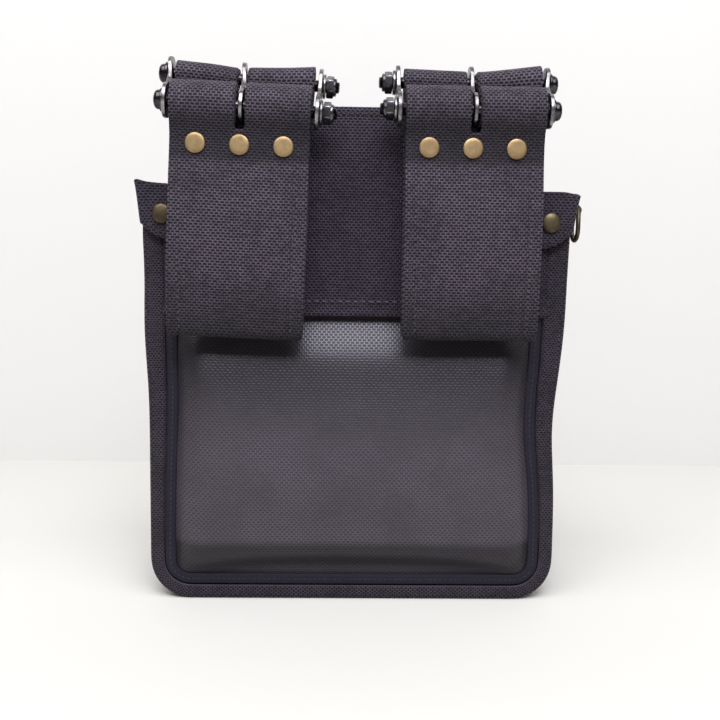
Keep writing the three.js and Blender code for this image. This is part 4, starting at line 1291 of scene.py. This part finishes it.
def make_pocket():
    """Front pocket: its gusset, its face, the tape round the face and two rows of stitches."""
    low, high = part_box("pocket_face")
    half, bottom, top = high.x, low.z, high.z
    corner = 18 * MM
    face_y = (low.y + high.y) / 2
    back_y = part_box("pocket_gusset")[0].y
    outline = (lambda z, sign: np.full(np.shape(z), half), corner, bottom, top)
    path, inward = u_path(*outline, 5 * MM)
    mid = CLOTH / 2
    depth = face_y - mid - 0.4 * MM
    section = [(-5.5 * MM, back_y + mid), (-1 * MM, back_y + mid), (mid, back_y + 2.5 * MM)]
    section += [(mid, y) for y in np.linspace(back_y + 6 * MM, depth - 1 * MM, 7)]
    points, uv = loft_u(path, inward, section)
    for r in range(len(path)):
        for c in range(3, len(section)):
            share = (section[c][1] - back_y) / (depth - back_y)
            dip = 2.5 * MM * math.sin(math.pi * share) * (1 + 0.6 * wobble(points[r, c], 30, 2.0))
            points[r, c, ::2] += inward[r] * dip
    cloth_piece("pocket_gusset_cloth", points, uv, CLOTH, BALLISTIC, "pocket_gusset")

    x, z = u_grid(*outline, columns=54, rows=44, crowding=1.2)
    cloth_piece("pocket_face_cloth", together(x, face_y, z), together(x, z), CLOTH, BALLISTIC, "pocket_face")

    tape_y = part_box("pocket_tape")[0].y + 0.65 * MM
    shares = (0.02, 0.15, 0.5, 0.85, 1)
    section = [(7 * MM * share, tape_y + 0.5 * MM * math.sin(math.pi * share)) for share in shares]
    points, uv = loft_u(path, inward, section)
    cloth_piece("pocket_tape_cloth", points, uv, TAPE_CLOTH, TAPE, "pocket_tape")
    row = stand_up(path + inward * 3.5 * MM, tape_y + 1.05 * MM)
    hem = together(np.linspace(-half + 9 * MM, half - 9 * MM, 60), high.y - 0.1 * MM, top - 5 * MM)
    away = (0, 1, 0)
    stitches("pocket_stitches", [(row, away), (hem, away)], DARK_THREAD, pitch=3 * MM)


def make_sleeve(side):
    """Webbing arched off the pocket's face and sewn down at both sides, a little narrower at its foot."""
    node = f"{side}_tool_sleeve"
    low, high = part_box(node)
    centre = (low.x + high.x) / 2
    cloth = 2 * MM
    half = (high.x - low.x) / 2
    arch_half, arch = 17 * MM - cloth / 2, high.y - low.y - cloth / 2
    base = low.y + cloth / 2
    plan = [(-half, 0), (-half + 1.5 * MM, 0), (-arch_half - 1 * MM, 0)]
    arc = np.radians(np.linspace(14, 166, 21))
    plan += [(arch_half * -math.cos(a), (arch - cloth / 2) * math.sin(a)) for a in arc]
    plan += [(-x, y) for x, y in reversed(plan[:3])]
    plan = soften_line(plan, 1)
    between = np.linspace(low.z + 4 * MM, high.z - 4 * MM, 18)
    heights = np.concatenate([[low.z, low.z + 1 * MM], between, [high.z - 1 * MM, high.z]])
    points = np.zeros((len(heights), len(plan), 3))
    for r, z in enumerate(heights):
        share = (z - low.z) / (high.z - low.z)
        narrow = 1 - 0.12 * (1 - share)
        for c, (x, y) in enumerate(plan):
            out = y * (0.86 + 0.14 * share) * (1 - 0.03 * wobble((x, y, z), 40, 6.0))
            points[r, c] = (centre + (x * narrow if y > 0.5 * MM else x), base + out, z)
    uv = together(arc_lengths(plan)[None, :], heights[:, None])
    cloth_piece(f"{side}_sleeve_cloth", points, uv, cloth, WEBBING, node)
    upright = np.linspace(low.z + 2 * MM, high.z - 2 * MM, 60)
    outer_y = base + cloth / 2 - 0.05 * MM
    rows = [(together(centre + sign * (half - 2 * MM), outer_y, upright), (0, 1, 0)) for sign in (-1, 1)]
    stitches(f"{side}_sleeve_stitches", rows, DARK_THREAD)


# ---- Build ----

make_gusset()
make_back_panel()
make_front_panel()
make_seam_tape("back", -1)
make_seam_tape("front", 1)
make_patch()
make_mouth_hem()
for side, sign in SIDES.items():
    make_ear(side, sign)
    make_hanger(side)
    make_belt_loop(side)
    make_pin(side, "rear", f"{side}_link_swing")
    make_pin(side, "front", f"{side}_loop_swing")
    for place in ("outer", "middle", "inner"):
        make_link_plate(side, place)
make_rivets()
make_side_ring()
make_ring_tab()
make_pocket()
for side in ("left", "middle", "right"):
    make_sleeve(side)
board = frame["nodes"]["bottom_board"]
board.data.materials.clear()
board.data.materials.append(BOARD)


# ---- Studio ----

WALL_Y = 320 * MM


def plain_paper(name, tone):
    """Matt paper that is clear from behind, so that the wall does not hide the pouch from the front."""
    s = Shade(name)
    s.set(Base_Color=colour(*tone), Roughness=0.9, Specular_IOR_Level=0.1)
    behind = s.node("ShaderNodeNewGeometry").outputs["Backfacing"]
    s.set(Alpha=s.math("SUBTRACT", 1.0, behind))
    return s.material


def add_light(name, place, aim, size, power, tint):
    light = bpy.data.lights.new(name, "AREA")
    light.shape = "RECTANGLE"
    light.size, light.size_y = size
    light.energy = power
    light.color = tint
    lamp = link(name, light)
    lamp.location = place
    lamp.rotation_euler = (Vector(aim) - Vector(place)).to_track_quat("-Z", "Y").to_euler()


def make_studio():
    """Pale floor and wall, one broad soft light high in front and a small cooler one below it."""
    reach = 5.0
    for name, tone, line in (
        ("studio_floor", (193, 191, 187), [(-4.0, 0), (2.0, 0)]),
        ("studio_wall", (200, 198, 196), [(WALL_Y, 0), (WALL_Y, 1.6)]),
    ):
        points = [(x, y, z) for y, z in line for x in (-reach, reach)]
        sheet = new_mesh(name, points, [(0, 1, 3, 2)])
        sheet.data.materials.append(plain_paper(f"{name}_paper", tone))
    world = bpy.data.worlds.new("studio_world")
    bpy.context.scene.world = world
    world.use_nodes = True
    background = world.node_tree.nodes["Background"]
    background.inputs["Color"].default_value = (1.0, 0.985, 0.97, 1)
    background.inputs["Strength"].default_value = 0.1
    add_light("overhead_light", (-0.1, -1.35, 2.1), (0, -0.03, 0.15), (3.4, 2.0), 126, (1.0, 1.0, 1.0))
    add_light("cool_light", (0.05, -1.0, 1.02), (0, -0.04, 0.15), (0.55, 0.38), 9.5, (0.82, 0.88, 1.0))


def make_camera():
    """Low camera on the wearer's side, a little to the left and turned slightly."""
    data = bpy.data.cameras.new("camera")
    data.sensor_width = 36
    data.lens = 43.65
    camera = link("camera", data)
    pitch, yaw, roll = (math.radians(a) for a in (-5.53, -1.2, 0.7))
    turn = Matrix.Rotation(yaw, 4, "Z") @ Matrix.Rotation(math.pi / 2 + pitch, 4, "X")
    place = Matrix.Translation((-0.007, -0.508, 0.180))
    camera.matrix_world = place @ turn @ Matrix.Rotation(roll, 4, "Z")
    bpy.context.scene.camera = camera


make_studio()
make_camera()
bpy.context.scene.view_settings.view_transform = "Standard"
